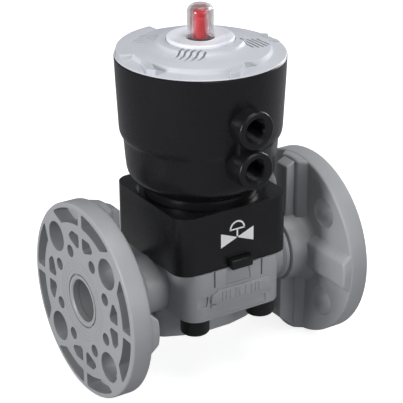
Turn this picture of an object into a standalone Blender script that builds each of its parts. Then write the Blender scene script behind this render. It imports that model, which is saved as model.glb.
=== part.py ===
"""Air-operated diaphragm valve with round end flanges and a rising position indicator.

Metres, +Z up. The pipe runs along X at the height AXIS_Z and the stem stands on x = y = 0.
The lowest point of the two flanges is at z = 0. Heights named *_Z below are measured from
the pipe axis, and the function above() turns them into heights in the scene.
"""
import math

import bmesh
import bpy
from mathutils import Matrix, Vector

MM = 0.001
GAP = 0.3 * MM  # space left between two pieces that touch
PAST = 1.0 * MM  # how far a cutter runs past the face that it opens
LAP = 1.0 * MM  # how far two joined shapes run into each other
MODEL_NAME = "diaphragm_valve"

# Overall sizes
FACE_TO_FACE = 160.0 * MM
FLANGE_R = 57.5 * MM
AXIS_Z = FLANGE_R
PIPE_BORE_R = 12.5 * MM
STROKE = 13.0 * MM

# Flanges, from the sealing face inwards
FLANGE_THICKNESS = 12.4 * MM
FLANGE_PAD_DEPTH = 19.0 * MM
FLANGE_RIB_DEPTH = 23.0 * MM
FLANGE_HUB_DEPTH = 28.5 * MM
FLANGE_HUB_R = 21.3 * MM
FLANGE_EDGE = 1.5 * MM
FLANGE_PAD_HALF = 10.0 * MM
FLANGE_PAD_TAPER = 0.72
LOWER_RIB_HALF = 8.0 * MM
UPPER_RIB_HALF = 5.5 * MM
SPIGOT_R = 16.0 * MM
SHOULDER_DEPTH = 4.3 * MM
BOLT_CIRCLE_R = 0.718 * FLANGE_R
FLANGE_BOLT_R = 9.0 * MM
POCKET_DEPTH = 9.0 * MM
POCKET_WEB = 2.0 * MM
POCKET_RING_R = (0.8 * FLANGE_R, 0.948 * FLANGE_R)
POCKET_END_ANGLES = (54, 61.5)
SMALL_POCKET_R = 0.064 * FLANGE_R
SMALL_POCKET_PLACE = (0.217 * FLANGE_R, 0.461 * FLANGE_R)

# Body
BODY_HALF_X = 32.5 * MM
BODY_HALF_Y = 38.4 * MM
BODY_CORNER_R = 10.0 * MM
BODY_BOTTOM_Z = -13.0 * MM
BODY_TOP_Z = 17.0 * MM
NECK_R = 17.6 * MM
KEEL_Z = -33.0 * MM
KEEL_HALF_Y = 17.5 * MM
KEEL_WEB_HALF = 2.5 * MM
KEEL_INSERT_X = 12.5 * MM
KEEL_INSERT_R = 4.0 * MM
KEEL_THREAD_R = 2.5 * MM
KEEL_INSERT_DEPTH = 9.0 * MM
NECK_RING = 1.6 * MM
STRIP_RISE = 1.2 * MM
WEIR_Z = 6.0 * MM
BOWL_HALF_X = 27.0 * MM
BOWL_HALF_Y = 22.0 * MM

# Body bolts
BOLT_X = BODY_HALF_X - BODY_CORNER_R
BOLT_Y = BODY_HALF_Y - BODY_CORNER_R
BOLT_R = 3.0 * MM
BOLT_HEAD_R = 5.2 * MM
BOLT_HEAD_HEIGHT = 5.0 * MM
WASHER_R = 6.2 * MM
WASHER_THICKNESS = 1.2 * MM
NUT_R = 5.6 * MM
NUT_HEIGHT = 5.0 * MM
CAP_R = 8.4 * MM
CAP_HEIGHT = 10.0 * MM
CAP_WALL = 1.4 * MM
NUT_SEAT = 9.0 * MM

# Diaphragm and compressor
DIAPHRAGM_R = 30.0 * MM
DIAPHRAGM_THICKNESS = 3.2 * MM
COMPRESSOR_R = 18.0 * MM
COMPRESSOR_HEIGHT = 11.0 * MM
COMPRESSOR_HUB_R = 9.0 * MM
SOCKET_FLOOR = 3.0 * MM
PIN_R = 1.5 * MM
PIN_HALF = 8.5 * MM
PIN_RISE = 8.7 * MM
ARCH_R = (8.0 * MM, 16.0 * MM, 22.0 * MM)

# Bonnet
BONNET_HALF = 37.5 * MM
BONNET_CORNER_R = 10.0 * MM
BONNET_TOP_Z = 52.5 * MM
BONNET_ROOM_R = 22.0 * MM
BONNET_ROOM_TOP_Z = 38.5 * MM
NECK_HOLE_R = 33.0 * MM
RETAINING_RING_Z = 45.0 * MM
RETAINING_RING_WIRE_R = 1.5 * MM
CLIP_X = (-5.5 * MM, 9.0 * MM)
CLIP_HEIGHT = 6.5 * MM
CLIP_DROP = 1.0 * MM
CLIP_REACH = 4.2 * MM
CLIP_SEAT = 2.5 * MM

# Stem
STEM_R = 4.0 * MM
STEM_CLEARANCE = 0.15 * MM

# Actuator housing
HOUSING_R = 48.6 * MM
HOUSING_LOW_R = 44.5 * MM
HOUSING_STEP_Z = 86.0 * MM
HOUSING_TOP_Z = 133.4 * MM
HOUSING_FLOOR_Z = 66.0 * MM
CHAMBER_R = 38.5 * MM
PORT_Z = (81.5 * MM, 105.0 * MM)
PORT_FACE_Y = 57.0 * MM
PORT_BOSS_R = 11.0 * MM
PORT_HOLE_R = 6.0 * MM
AIR_WAY_R = 1.8 * MM
AIR_WAY_Y = -CHAMBER_R - 5.0 * MM
NECK_FOOT_Z = BONNET_ROOM_TOP_Z + 2.0 * MM
NECK_BORE_R = STEM_R + 3.5 * MM
BUSH_HEIGHT = 12.0 * MM
BUSH_FLANGE_R = 11.0 * MM
BUSH_FLANGE_HEIGHT = 3.5 * MM
BUSH_WALL = 3.2 * MM

# Piston, springs and indicator
PISTON_TOP_Z = 124.0 * MM
PISTON_HEIGHT = 10.0 * MM
PISTON_CLEARANCE = 0.25 * MM
PISTON_SKIRT = 6.0 * MM
PISTON_GROOVE = (3.0 * MM, 7.0 * MM)
PISTON_GROOVE_DEPTH = 3.2 * MM
PISTON_WEB = 4.5 * MM
STEM_END_R = 3.0 * MM
PISTON_WASHER_R = 10.0 * MM
PISTON_WASHER_THICKNESS = 1.5 * MM
PISTON_NUT_R = 6.0 * MM
PISTON_NUT_HEIGHT = 4.5 * MM
THREAD_GAP = 0.1 * MM
STEM_SEAL_WIRE_R = 1.2 * MM
STEM_SEAL_Z = HOUSING_FLOOR_Z - 5.0 * MM
SPRING_SEAT = 1.2 * MM
SPRING_R = (CHAMBER_R - 9.5 * MM, CHAMBER_R - 20.0 * MM)
SPRING_WIRE_R = (2.0 * MM, 1.6 * MM)
SPRING_TURNS = (5, 6)
INDICATOR_R = 3.9 * MM
INDICATOR_TOP_Z = 158.3 * MM

# Lid and dome
LID_PLATEAU_R = 41.0 * MM
LID_PLATEAU_Z = 137.5 * MM
LID_CENTRE_Z = 141.8 * MM
LID_PLUG_Z = 127.5 * MM
LID_PLUG_WALL = 3.0 * MM
LID_HUB_R = 12.0 * MM
LID_RIM = 0.8 * MM
DISC_SINK = 1.5 * MM
INDICATOR_CLEARANCE = 0.4 * MM
RIDGE_TURN = 15
DISC_R = 19.2 * MM
DISC_TOP_Z = 143.6 * MM
DOME_R = 7.5 * MM
DOME_WALL = 1.5 * MM
DOME_TOP_Z = 162.0 * MM
DOME_EDGE_R = 4.5 * MM
DOME_SEAT_DEPTH = 2.0 * MM
DOME_SEAT_HEIGHT = 1.2 * MM

# Colours
GREY_PLASTIC = (0.33, 0.335, 0.35)
BLACK_PLASTIC = (0.022, 0.022, 0.024)
PALE_GREY = (0.56, 0.57, 0.60)
OFF_WHITE = (0.72, 0.73, 0.78)
RED_PLASTIC = (0.62, 0.015, 0.03)
CLEAR_PLASTIC = (0.86, 0.88, 0.90)
BLACK_RUBBER = (0.015, 0.015, 0.016)
STEEL = (0.60, 0.60, 0.61)
SPRING_STEEL = (0.35, 0.35, 0.36)
BRASS = (0.70, 0.50, 0.22)

QUARTER_TURNS = [Matrix.Rotation(math.radians(90 * i), 4, "Z") for i in range(4)]


# ---------------------------------------------------------------- helpers

def above(height):
    """Scene height of a point that lies this far above the pipe axis."""
    return AXIS_Z + height


def clear_scene():
    """Remove every object that the file opened with."""
    for obj in list(bpy.data.objects):
        bpy.data.objects.remove(obj, do_unlink=True)


def new_collection(name):
    """Add a collection to the scene."""
    collection = bpy.data.collections.new(name)
    bpy.context.scene.collection.children.link(collection)
    return collection


clear_scene()
PARTS = new_collection(MODEL_NAME)
CUTTERS = new_collection("cutters")


def material(name, colour, roughness, metallic=0.0, alpha=1.0):
    """A Principled material."""
    made = bpy.data.materials.new(name)
    made.use_nodes = True
    shader = made.node_tree.nodes["Principled BSDF"]
    shader.inputs["Base Color"].default_value = (*colour, 1.0)
    shader.inputs["Roughness"].default_value = roughness
    shader.inputs["Metallic"].default_value = metallic
    shader.inputs["Alpha"].default_value = alpha
    made.diffuse_color = (*colour, alpha)
    return made


def part(name, mesh, look):
    """Put a finished mesh in the model's collection with its material."""
    obj = bpy.data.objects.new(name, mesh)
    PARTS.objects.link(obj)
    obj.data.materials.append(look)
    return obj


def cutter(name, mesh):
    """Put a mesh in the cutters' collection, shown as wire and never rendered."""
    obj = bpy.data.objects.new(name, mesh)
    CUTTERS.objects.link(obj)
    obj.hide_render = True
    obj.display_type = "WIRE"
    return obj


def combine(obj, other, operation):
    """Apply a Boolean with another object, which then moves with this one."""
    other.parent = obj
    boolean = obj.modifiers.new(operation.lower(), "BOOLEAN")
    boolean.solver = "EXACT"
    boolean.operation = operation
    boolean.object = other


def cut(obj, mesh):
    """Take a mesh's volume out of an object."""
    combine(obj, cutter(obj.name + "_cut", mesh), "DIFFERENCE")


def join(obj, mesh):
    """Add a mesh's volume to an object."""
    combine(obj, cutter(obj.name + "_add", mesh), "UNION")


def bevel(obj, width, segments=2, angle=40):
    """Round the edges that are sharper than the angle."""
    rounding = obj.modifiers.new("rounding", "BEVEL")
    rounding.width = width
    rounding.segments = segments
    rounding.limit_method = "ANGLE"
    rounding.angle_limit = math.radians(angle)


def evaluated_mesh(obj):
    """The mesh of an object with its modifiers applied; the object is removed."""
    bpy.context.view_layer.update()
    graph = bpy.context.evaluated_depsgraph_get()
    mesh = bpy.data.meshes.new_from_object(obj.evaluated_get(graph))
    mesh.transform(obj.matrix_world)
    bpy.data.objects.remove(obj, do_unlink=True)
    weld(mesh)
    return mesh


def weld(mesh):
    """Join vertices that lie on each other."""
    edit = bmesh.new()
    edit.from_mesh(mesh)
    bmesh.ops.remove_doubles(edit, verts=edit.verts, dist=1e-6)
    bmesh.ops.recalc_face_normals(edit, faces=edit.faces)
    edit.to_mesh(mesh)
    edit.free()


def turned_mesh(profile, steps):
    """Mesh of a profile of (radius, height) points turned round Z.

    The points run down the outer side from the top, and the last one is joined to the first,
    except along the axis: so a profile makes a ring, a solid piece or a cup.
    """
    mesh = bpy.data.meshes.new("profile")
    points = [(radius, 0.0, height) for radius, height in profile]
    edges = [(i - 1, i) for i in range(len(points)) if points[i - 1][0] > 0 or points[i][0] > 0]
    edges = [(i % len(points), j) for i, j in edges]
    mesh.from_pydata(points, edges, [])
    obj = bpy.data.objects.new("profile", mesh)
    CUTTERS.objects.link(obj)
    screw = obj.modifiers.new("turn", "SCREW")
    screw.axis = "Z"
    screw.steps = steps
    screw.render_steps = steps
    screw.use_merge_vertices = True
    screw.merge_threshold = 0.00001
    return evaluated_mesh(obj)


def outline_mesh(points, low, high):
    """A flat outline in X and Y, filled and extruded from the height low to high."""
    curve = bpy.data.curves.new("outline", "CURVE")
    curve.dimensions = "2D"
    curve.fill_mode = "BOTH"
    curve.extrude = (high - low) / 2
    spline = curve.splines.new("POLY")
    spline.points.add(len(points) - 1)
    for place, (x, y) in zip(spline.points, points):
        place.co = (x, y, 0.0, 1.0)
    spline.use_cyclic_u = True
    obj = bpy.data.objects.new("outline", curve)
    obj.location.z = (low + high) / 2
    CUTTERS.objects.link(obj)
    mesh = evaluated_mesh(obj)
    edit = bmesh.new()
    edit.from_mesh(mesh)
    bmesh.ops.dissolve_limit(edit, angle_limit=0.001, verts=edit.verts, edges=edit.edges)
    edit.to_mesh(mesh)
    edit.free()
    return mesh


def tube_mesh(points, radius, bevel_resolution=2, cyclic=False):
    """A round bar that follows a row of points."""
    curve = bpy.data.curves.new("tube", "CURVE")
    curve.dimensions = "3D"
    curve.bevel_depth = radius
    curve.bevel_resolution = bevel_resolution
    curve.use_fill_caps = True
    spline = curve.splines.new("POLY")
    spline.points.add(len(points) - 1)
    for place, point in zip(spline.points, points):
        place.co = (*point, 1.0)
    spline.use_cyclic_u = cyclic
    obj = bpy.data.objects.new("tube", curve)
    CUTTERS.objects.link(obj)
    return evaluated_mesh(obj)


def primitive(build, **settings):
    """A mesh from one of bmesh.ops's primitive makers."""
    edit = bmesh.new()
    build(edit, **settings)
    mesh = bpy.data.meshes.new("primitive")
    edit.to_mesh(mesh)
    edit.free()
    weld(mesh)
    return mesh


def cylinder_mesh(radius, low, high, sides=32, top_radius=None):
    """An upright cylinder or cone on the Z axis."""
    top = radius if top_radius is None else top_radius
    mesh = primitive(bmesh.ops.create_cone, cap_ends=True, segments=sides,
                     radius1=radius, radius2=top, depth=high - low)
    mesh.transform(Matrix.Translation((0, 0, (low + high) / 2)))
    return mesh


def box_mesh(low, high):
    """An upright box between two corners."""
    size = Vector(high) - Vector(low)
    middle = (Vector(high) + Vector(low)) / 2
    mesh = primitive(bmesh.ops.create_cube, size=1.0)
    mesh.transform(Matrix.Translation(middle) @ Matrix.Diagonal((*size, 1.0)))
    return mesh


def repeated(mesh, placings):
    """One mesh with a copy of this one for each matrix. A mirrored copy is turned right side out."""
    edit = bmesh.new()
    for placing in placings:
        copy = mesh.copy()
        copy.transform(placing)
        if placing.determinant() < 0:
            copy.flip_normals()
        edit.from_mesh(copy)
        bpy.data.meshes.remove(copy)
    joined = bpy.data.meshes.new("repeated")
    edit.to_mesh(joined)
    edit.free()
    return joined


def moved(mesh, x=0.0, y=0.0, z=0.0):
    """The same mesh shifted."""
    mesh.transform(Matrix.Translation((x, y, z)))
    return mesh


def at_places(places):
    """A shift for each (x, y, z)."""
    return [Matrix.Translation(place) for place in places]


def arc(radius, start, end, steps, centre=(0.0, 0.0)):
    """Points on an arc, with its angles in degrees."""
    points = []
    for i in range(steps + 1):
        turn = math.radians(start + (end - start) * i / steps)
        points.append((centre[0] + radius * math.cos(turn), centre[1] + radius * math.sin(turn)))
    return points


def rounded_rectangle(half_x, half_y, radius, steps=5):
    """Outline of a rectangle with round corners, centred on the origin."""
    points = []
    corners = ((1, 1, 0), (-1, 1, 90), (-1, -1, 180), (1, -1, 270))
    for side_x, side_y, start in corners:
        centre = (side_x * (half_x - radius), side_y * (half_y - radius))
        points += arc(radius, start, start + 90, steps, centre)
    return points


# ---------------------------------------------------------------- materials

def grey_plastic(name):
    """Moulded grey pipe plastic."""
    return material(name, GREY_PLASTIC, 0.45)


def black_plastic(name):
    """Glass-filled black plastic."""
    return material(name, BLACK_PLASTIC, 0.38)


def steel(name):
    """Plain stainless steel."""
    return material(name, STEEL, 0.3, 1.0)


def rubber(name):
    """Black seal rubber."""
    return material(name, BLACK_RUBBER, 0.6)


# ---------------------------------------------------------------- flanges

def flange_profile():
    """Section of a flange: its sealing face is at height 0 and its hub points down."""
    edge = FLANGE_EDGE
    back = -FLANGE_THICKNESS
    socket_r = SPIGOT_R + GAP
    return [
        (FLANGE_R - edge, 0), (FLANGE_R - 0.3 * edge, -0.3 * edge), (FLANGE_R, -edge),
        (FLANGE_R, back + 0.5 * edge), (FLANGE_R - 0.5 * edge, back),
        (FLANGE_HUB_R + 4.5 * MM, back), (FLANGE_HUB_R + 1.6 * MM, back - 1.6 * MM),
        (FLANGE_HUB_R, back - 5 * MM), (FLANGE_HUB_R, 1 * MM - FLANGE_HUB_DEPTH),
        (FLANGE_HUB_R - 1 * MM, -FLANGE_HUB_DEPTH), (socket_r, -FLANGE_HUB_DEPTH),
        (socket_r, -SHOULDER_DEPTH), (PIPE_BORE_R, -SHOULDER_DEPTH), (PIPE_BORE_R, 0),
    ]


def flange_pad():
    """One raised pad on a flange's back, between two bolt holes, with leaning sides."""
    half = FLANGE_PAD_HALF
    rim = FLANGE_R - 0.2 * MM
    reach = math.degrees(math.asin(half / rim))
    inner = FLANGE_HUB_R - 2.8 * MM
    points = [(inner, -half)] + arc(rim, -reach, reach, 4) + [(inner, half)]
    mesh = outline_mesh(points, -FLANGE_PAD_DEPTH, LAP - FLANGE_THICKNESS)
    for vertex in mesh.vertices:
        if vertex.co.z < -FLANGE_THICKNESS:
            vertex.co.y *= FLANGE_PAD_TAPER
    return mesh


def flange_rib(half, depth, foot_r, end_r):
    """A rib that stands on a pad along +X and slopes down to it near the rim."""
    start = FLANGE_HUB_R - 2.8 * MM
    base = LAP - FLANGE_PAD_DEPTH
    side = [(start, base), (start, -depth), (foot_r, -depth), (end_r, base)]
    mesh = outline_mesh(side, -half, half)
    mesh.transform(Matrix.Rotation(math.radians(90), 4, "X"))
    return mesh


def rim_pocket():
    """Cutter for one long pocket beside the web at +Y, in front of the rim."""
    inner, outer = POCKET_RING_R
    outer_end = math.degrees(math.asin(POCKET_WEB / outer))
    inner_end = math.degrees(math.asin(POCKET_WEB / inner))
    points = arc(outer, 90 - outer_end, POCKET_END_ANGLES[0], 3)
    points += arc(inner, POCKET_END_ANGLES[1], 90 - inner_end, 2)
    return outline_mesh(points, -POCKET_DEPTH, PAST)


def web_pocket():
    """Cutter for one small pocket beside the web at +Y, between the bolt holes."""
    k = FLANGE_R
    points = [(POCKET_WEB, 0.70 * k), (0.175 * k, 0.70 * k), (0.24 * k, 0.635 * k),
              (0.215 * k, 0.597 * k), (0.075 * k, 0.546 * k), (POCKET_WEB, 0.57 * k)]
    return outline_mesh(points, -POCKET_DEPTH, PAST)


def four_fold():
    """Placings that turn a shape beside +Y to both sides of all four webs."""
    mirror = Matrix.Scale(-1, 4, (1, 0, 0))
    return QUARTER_TURNS + [turn @ mirror for turn in QUARTER_TURNS]


def flange(name, side):
    """An end flange. side is -1 at the inlet and 1 at the outlet."""
    obj = part(name, turned_mesh(flange_profile(), 48), grey_plastic(name))
    join(obj, repeated(flange_pad(), QUARTER_TURNS))
    down = Matrix.Rotation(math.radians(0 if side > 0 else 180), 4, "Z")
    up = Matrix.Rotation(math.radians(180 if side > 0 else 0), 4, "Z")
    lower = flange_rib(LOWER_RIB_HALF, FLANGE_HUB_DEPTH - LAP, 0.8 * FLANGE_R, 0.97 * FLANGE_R)
    upper = flange_rib(UPPER_RIB_HALF, FLANGE_RIB_DEPTH, 0.92 * FLANGE_R, 0.97 * FLANGE_R)
    join(obj, repeated(lower, [down]))
    join(obj, repeated(upper, [up]))
    cut(obj, repeated(rim_pocket(), four_fold()))
    cut(obj, repeated(web_pocket(), four_fold()))
    small = moved(cylinder_mesh(SMALL_POCKET_R, -POCKET_DEPTH, PAST, 10), *SMALL_POCKET_PLACE)
    cut(obj, repeated(small, four_fold()))
    diagonal = BOLT_CIRCLE_R / math.sqrt(2)
    hole = cylinder_mesh(FLANGE_BOLT_R, -2 * FLANGE_THICKNESS, PAST, 18)
    cut(obj, repeated(moved(hole, diagonal, diagonal), QUARTER_TURNS))
    obj.location = (side * FACE_TO_FACE / 2, 0, AXIS_Z)
    obj.rotation_euler = (0, math.radians(90 * side), 0)
    return obj


# ---------------------------------------------------------------- body

def along_pipe(mesh):
    """Lay an upright mesh along the pipe, its +Z end towards +X."""
    mesh.transform(Matrix.Rotation(math.radians(90), 4, "Y"))
    return mesh


def raised(mesh):
    """Lift a mesh drawn about the pipe axis to its place."""
    return moved(mesh, z=AXIS_Z)


def neck_end():
    """Distance from the stem axis to the neck's end face, which meets the flange's hub."""
    return FACE_TO_FACE / 2 - FLANGE_HUB_DEPTH - GAP


def neck_mesh():
    """The two necks with the spigots that go into the flanges, as one turned bar."""
    hub = neck_end()
    tip = FACE_TO_FACE / 2 - SHOULDER_DEPTH - GAP
    side = [(SPIGOT_R, tip), (SPIGOT_R, hub), (NECK_R + NECK_RING, hub),
            (NECK_R + NECK_RING, hub - 2.5 * MM), (NECK_R, hub - 5 * MM)]
    mirrored = [(radius, -height) for radius, height in reversed(side)]
    return raised(along_pipe(turned_mesh([(0, tip)] + side + mirrored + [(0, -tip)], 32)))


def keel_outline():
    """The keel seen from below, boat-shaped."""
    reach = min(BODY_HALF_X + 2.5 * MM, FACE_TO_FACE / 2 - FLANGE_HUB_DEPTH - 4 * MM)
    half = KEEL_HALF_Y
    quarter = [(0.25 * reach, half), (0.6 * reach, 0.82 * half), (reach, 0.5 * half)]
    points = quarter + [(reach, -0.5 * half)]
    points += [(x, -y) for x, y in reversed(quarter[:2])]
    return points + [(-x, -y) for x, y in points]


def keel_web():
    """The thin web that carries on from the keel to the flanges' ribs."""
    end = neck_end() - GAP
    deep = KEEL_Z - 5 * MM
    side = [(end, -NECK_R + 3 * MM), (end, deep - 4 * MM), (end - 5 * MM, deep),
            (BODY_HALF_X - 5 * MM, KEEL_Z + LAP), (BODY_HALF_X - 5 * MM, -NECK_R + 3 * MM)]
    mesh = outline_mesh(side, -KEEL_WEB_HALF, KEEL_WEB_HALF)
    mesh.transform(Matrix.Rotation(math.radians(90), 4, "X"))
    return repeated(raised(mesh), [Matrix.Identity(4), Matrix.Rotation(math.pi, 4, "Z")])


def flow_ways():
    """Cutters for the passages: the slanted ones up to the weir, then the bores from each end."""
    tip = FACE_TO_FACE / 2
    straight = raised(along_pipe(cylinder_mesh(PIPE_BORE_R, -tip, -1.6 * PIPE_BORE_R, 24)))
    foot = Vector((-2.16 * PIPE_BORE_R, 0, -2 * MM))
    lift = Vector((1.28 * PIPE_BORE_R, 0, BODY_TOP_Z + 3 * MM))
    slanted = cylinder_mesh(PIPE_BORE_R - 0.8 * MM, 0, lift.length, 22)
    slanted.transform(lift.to_track_quat("Z", "Y").to_matrix().to_4x4())
    slanted = raised(moved(slanted, foot.x, foot.y, foot.z))
    other_side = Matrix.Rotation(math.pi, 4, "Z")
    return [repeated(way, [placing]) for way in (slanted, straight)
            for placing in (Matrix.Identity(4), other_side)]


def bowl_mesh():
    """Cutter for the hollow above the weir, where the diaphragm comes down."""
    depth = BODY_TOP_Z - WEIR_Z
    mesh = primitive(bmesh.ops.create_uvsphere, u_segments=28, v_segments=10, radius=1.0)
    mesh.transform(Matrix.Translation((0, 0, above(BODY_TOP_Z)))
                   @ Matrix.Diagonal((BOWL_HALF_X, BOWL_HALF_Y, depth, 1.0)))
    return mesh


def bolt_places(height):
    """The four body bolts' places at a height above the pipe axis."""
    return at_places([(x, y, above(height)) for x in (-BOLT_X, BOLT_X) for y in (-BOLT_Y, BOLT_Y)])


def bolt_cut(radius, low, high, sides=16):
    """Cutter with the same upright cylinder at each body bolt."""
    return repeated(cylinder_mesh(radius, 0, high - low, sides), bolt_places(low))


def label_strip():
    """The raised strip on the body's front face."""
    low = BODY_BOTTOM_Z + 8 * MM
    high = low + 10 * MM
    points = [(-0.45 * BODY_HALF_X, low + 2 * MM), (0.74 * BODY_HALF_X, low + 2 * MM),
              (0.66 * BODY_HALF_X, high), (-0.42 * BODY_HALF_X, high),
              (-0.56 * BODY_HALF_X, high - 3 * MM), (-0.58 * BODY_HALF_X, low)]
    mesh = outline_mesh(points, BODY_HALF_Y - LAP, BODY_HALF_Y + STRIP_RISE)
    mesh.transform(Matrix.Rotation(math.radians(90), 4, "X"))
    return raised(mesh)


def valve_body():
    """The weir body: block, necks, keel, and the two passages that climb to the weir."""
    outline = rounded_rectangle(BODY_HALF_X, BODY_HALF_Y, BODY_CORNER_R)
    block = outline_mesh(outline, above(BODY_BOTTOM_Z), above(BODY_TOP_Z) + 2 * MM)
    obj = part("valve_body", block, grey_plastic("valve_body"))
    bevel(obj, 0.8 * MM, 1)
    join(obj, neck_mesh())
    join(obj, outline_mesh(keel_outline(), above(KEEL_Z), above(BODY_BOTTOM_Z) + 2 * MM))
    join(obj, keel_web())
    join(obj, label_strip())
    reach = BONNET_HALF + GAP
    cut(obj, box_mesh((-reach, -reach - 2 * MM, above(BODY_TOP_Z) - GAP / 2),
                      (reach, reach + 2 * MM, above(BODY_TOP_Z) + 4 * MM)))
    front = -BODY_HALF_Y
    cut(obj, box_mesh((-0.25 * BODY_HALF_X, front - PAST, above(BODY_BOTTOM_Z + 19 * MM)),
                      (0.25 * BODY_HALF_X, front + 1.2 * MM, above(BODY_TOP_Z) + PAST)))
    for way in flow_ways():
        cut(obj, way)
    cut(obj, bowl_mesh())
    seat = above(BODY_TOP_Z) - DIAPHRAGM_THICKNESS / 2 - GAP / 2
    cut(obj, cylinder_mesh(DIAPHRAGM_R + GAP, seat, above(BODY_TOP_Z) + PAST, 40))
    cut(obj, bolt_cut(BOLT_R + GAP, BODY_BOTTOM_Z - PAST, BODY_TOP_Z + PAST))
    hole = cylinder_mesh(KEEL_INSERT_R + GAP, above(KEEL_Z) - PAST, above(KEEL_Z) + KEEL_INSERT_DEPTH, 16)
    cut(obj, repeated(hole, at_places([(-KEEL_INSERT_X, 0, 0), (KEEL_INSERT_X, 0, 0)])))
    return obj


def keel_inserts():
    """Two brass nuts set in the keel, to bolt the valve to a bracket."""
    low = above(KEEL_Z) + GAP
    high = above(KEEL_Z) + KEEL_INSERT_DEPTH - GAP
    profile = [(KEEL_INSERT_R, high), (KEEL_INSERT_R, low), (KEEL_THREAD_R, low), (KEEL_THREAD_R, high)]
    mesh = turned_mesh(profile, 16)
    look = material("keel_inserts", BRASS, 0.35, 1.0)
    for i, x in enumerate((-KEEL_INSERT_X, KEEL_INSERT_X)):
        insert = part(f"keel_insert_{i + 1}", mesh.copy(), look)
        insert.location.x = x


# ---------------------------------------------------------------- fasteners

def at_each_bolt(name, mesh, look):
    """Put a copy of a mesh on each body bolt's axis, as four pieces numbered from 1."""
    for i, place in enumerate(bolt_places(0)):
        obj = part(f"{name}_{i + 1}", mesh.copy(), look)
        obj.matrix_world = place


def body_bolts():
    """Four bolts up through the body, their heads below it."""
    head_top = BODY_BOTTOM_Z - WASHER_THICKNESS - 2 * GAP
    top = nut_low() + NUT_HEIGHT
    profile = [(0, top), (BOLT_R - 0.4 * MM, top), (BOLT_R, top - 0.6 * MM), (BOLT_R, head_top),
               (BOLT_HEAD_R, head_top), (BOLT_HEAD_R, head_top - BOLT_HEAD_HEIGHT),
               (0, head_top - BOLT_HEAD_HEIGHT)]
    at_each_bolt("body_bolt", turned_mesh(profile, 12), steel("body_bolts"))


def bolt_washers():
    """A washer on each bolt head."""
    top = BODY_BOTTOM_Z - GAP
    low = top - WASHER_THICKNESS
    inner = BOLT_R + GAP
    profile = [(WASHER_R, top), (WASHER_R, low), (inner, low), (inner, top)]
    at_each_bolt("bolt_washer", turned_mesh(profile, 12), steel("bolt_washers"))


def nut_low():
    """Height of the nuts' lower face above the pipe axis."""
    return BODY_TOP_Z + NUT_SEAT


def bonnet_nuts():
    """Four nuts held in the bonnet's corners."""
    inner = BOLT_R + THREAD_GAP
    low = nut_low()
    profile = [(NUT_R, low + NUT_HEIGHT), (NUT_R, low), (inner, low), (inner, low + NUT_HEIGHT)]
    at_each_bolt("bonnet_nut", turned_mesh(profile, 12), steel("bonnet_nuts"))


def bolt_caps():
    """Four push-on caps that cover the bolt heads."""
    top = BODY_BOTTOM_Z - GAP
    low = top - CAP_HEIGHT
    inner = CAP_R - CAP_WALL
    profile = [(CAP_R, top), (CAP_R - 0.3 * MM, low + 1.5 * MM), (CAP_R - 1.6 * MM, low),
               (0, low), (0, low + CAP_WALL), (inner - 0.5 * MM, low + CAP_WALL), (inner, top)]
    at_each_bolt("bolt_cap", turned_mesh(profile, 18), black_plastic("bolt_caps"))


# ---------------------------------------------------------------- diaphragm and drive

def diaphragm():
    """The rubber diaphragm at rest: a clamped rim and a centre arched up to the compressor."""
    half = DIAPHRAGM_THICKNESS / 2
    rim = above(BODY_TOP_Z)
    centre = above(WEIR_Z) + STROKE + half
    crown, slope, foot = ARCH_R
    profile = [(0, centre + half), (crown, centre + half), (slope, centre - 0.3 * half),
               (foot, rim + half), (DIAPHRAGM_R, rim + half), (DIAPHRAGM_R, rim - half),
               (foot + 0.5 * MM, rim - half), (slope, centre - 2.3 * half), (crown, centre - half),
               (0, centre - half)]
    mesh = turned_mesh(profile, 28)
    return part("diaphragm", mesh, rubber("diaphragm"))


def compressor_low():
    """Height of the compressor's lower face above the pipe axis, at rest."""
    return WEIR_Z + STROKE + DIAPHRAGM_THICKNESS + GAP


def compressor():
    """The pusher above the diaphragm, with a socket for the stem and a cross hole for the pin."""
    low = above(compressor_low())
    top = low + COMPRESSOR_HEIGHT
    inner = STEM_R + GAP
    hub = COMPRESSOR_HUB_R
    floor = low + SOCKET_FLOOR
    profile = [(hub, top), (hub, low + 6.5 * MM), (COMPRESSOR_R, low + 5.5 * MM),
               (COMPRESSOR_R, low + 3.5 * MM), (hub + 1 * MM, low), (0, low), (0, floor),
               (inner, floor), (inner, top)]
    obj = part("compressor", turned_mesh(profile, 20), black_plastic("compressor"))
    fin = box_mesh((hub - LAP, -1 * MM, low + 5 * MM), (COMPRESSOR_R - 1 * MM, 1 * MM, top - 1 * MM))
    join(obj, repeated(fin, [Matrix.Rotation(math.radians(45 + 90 * i), 4, "Z") for i in range(4)]))
    cut(obj, cross_pin_mesh(PIN_R + GAP, COMPRESSOR_HUB_R + PAST))
    return obj


def cross_pin_mesh(radius, half_length):
    """A pin along X through the stem's lower end."""
    mesh = along_pipe(cylinder_mesh(radius, -half_length, half_length, 12))
    return moved(mesh, z=above(compressor_low()) + PIN_RISE)


def stem_pin():
    """Pin that joins the stem to the compressor."""
    return part("stem_pin", cross_pin_mesh(PIN_R, PIN_HALF), steel("stem_pin"))


def stem():
    """The steel stem, with a shoulder under the piston and a long upper end for the indicator."""
    low = above(compressor_low()) + SOCKET_FLOOR + GAP
    shoulder = above(PISTON_TOP_Z - PISTON_HEIGHT) - GAP
    top = above(LID_CENTRE_Z)
    profile = [(0, top), (STEM_END_R, top), (STEM_END_R, shoulder), (STEM_R, shoulder), (STEM_R, low),
               (0, low)]
    obj = part("stem", turned_mesh(profile, 20), steel("stem"))
    cut(obj, cross_pin_mesh(PIN_R + GAP, COMPRESSOR_HUB_R + PAST))
    return obj


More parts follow.
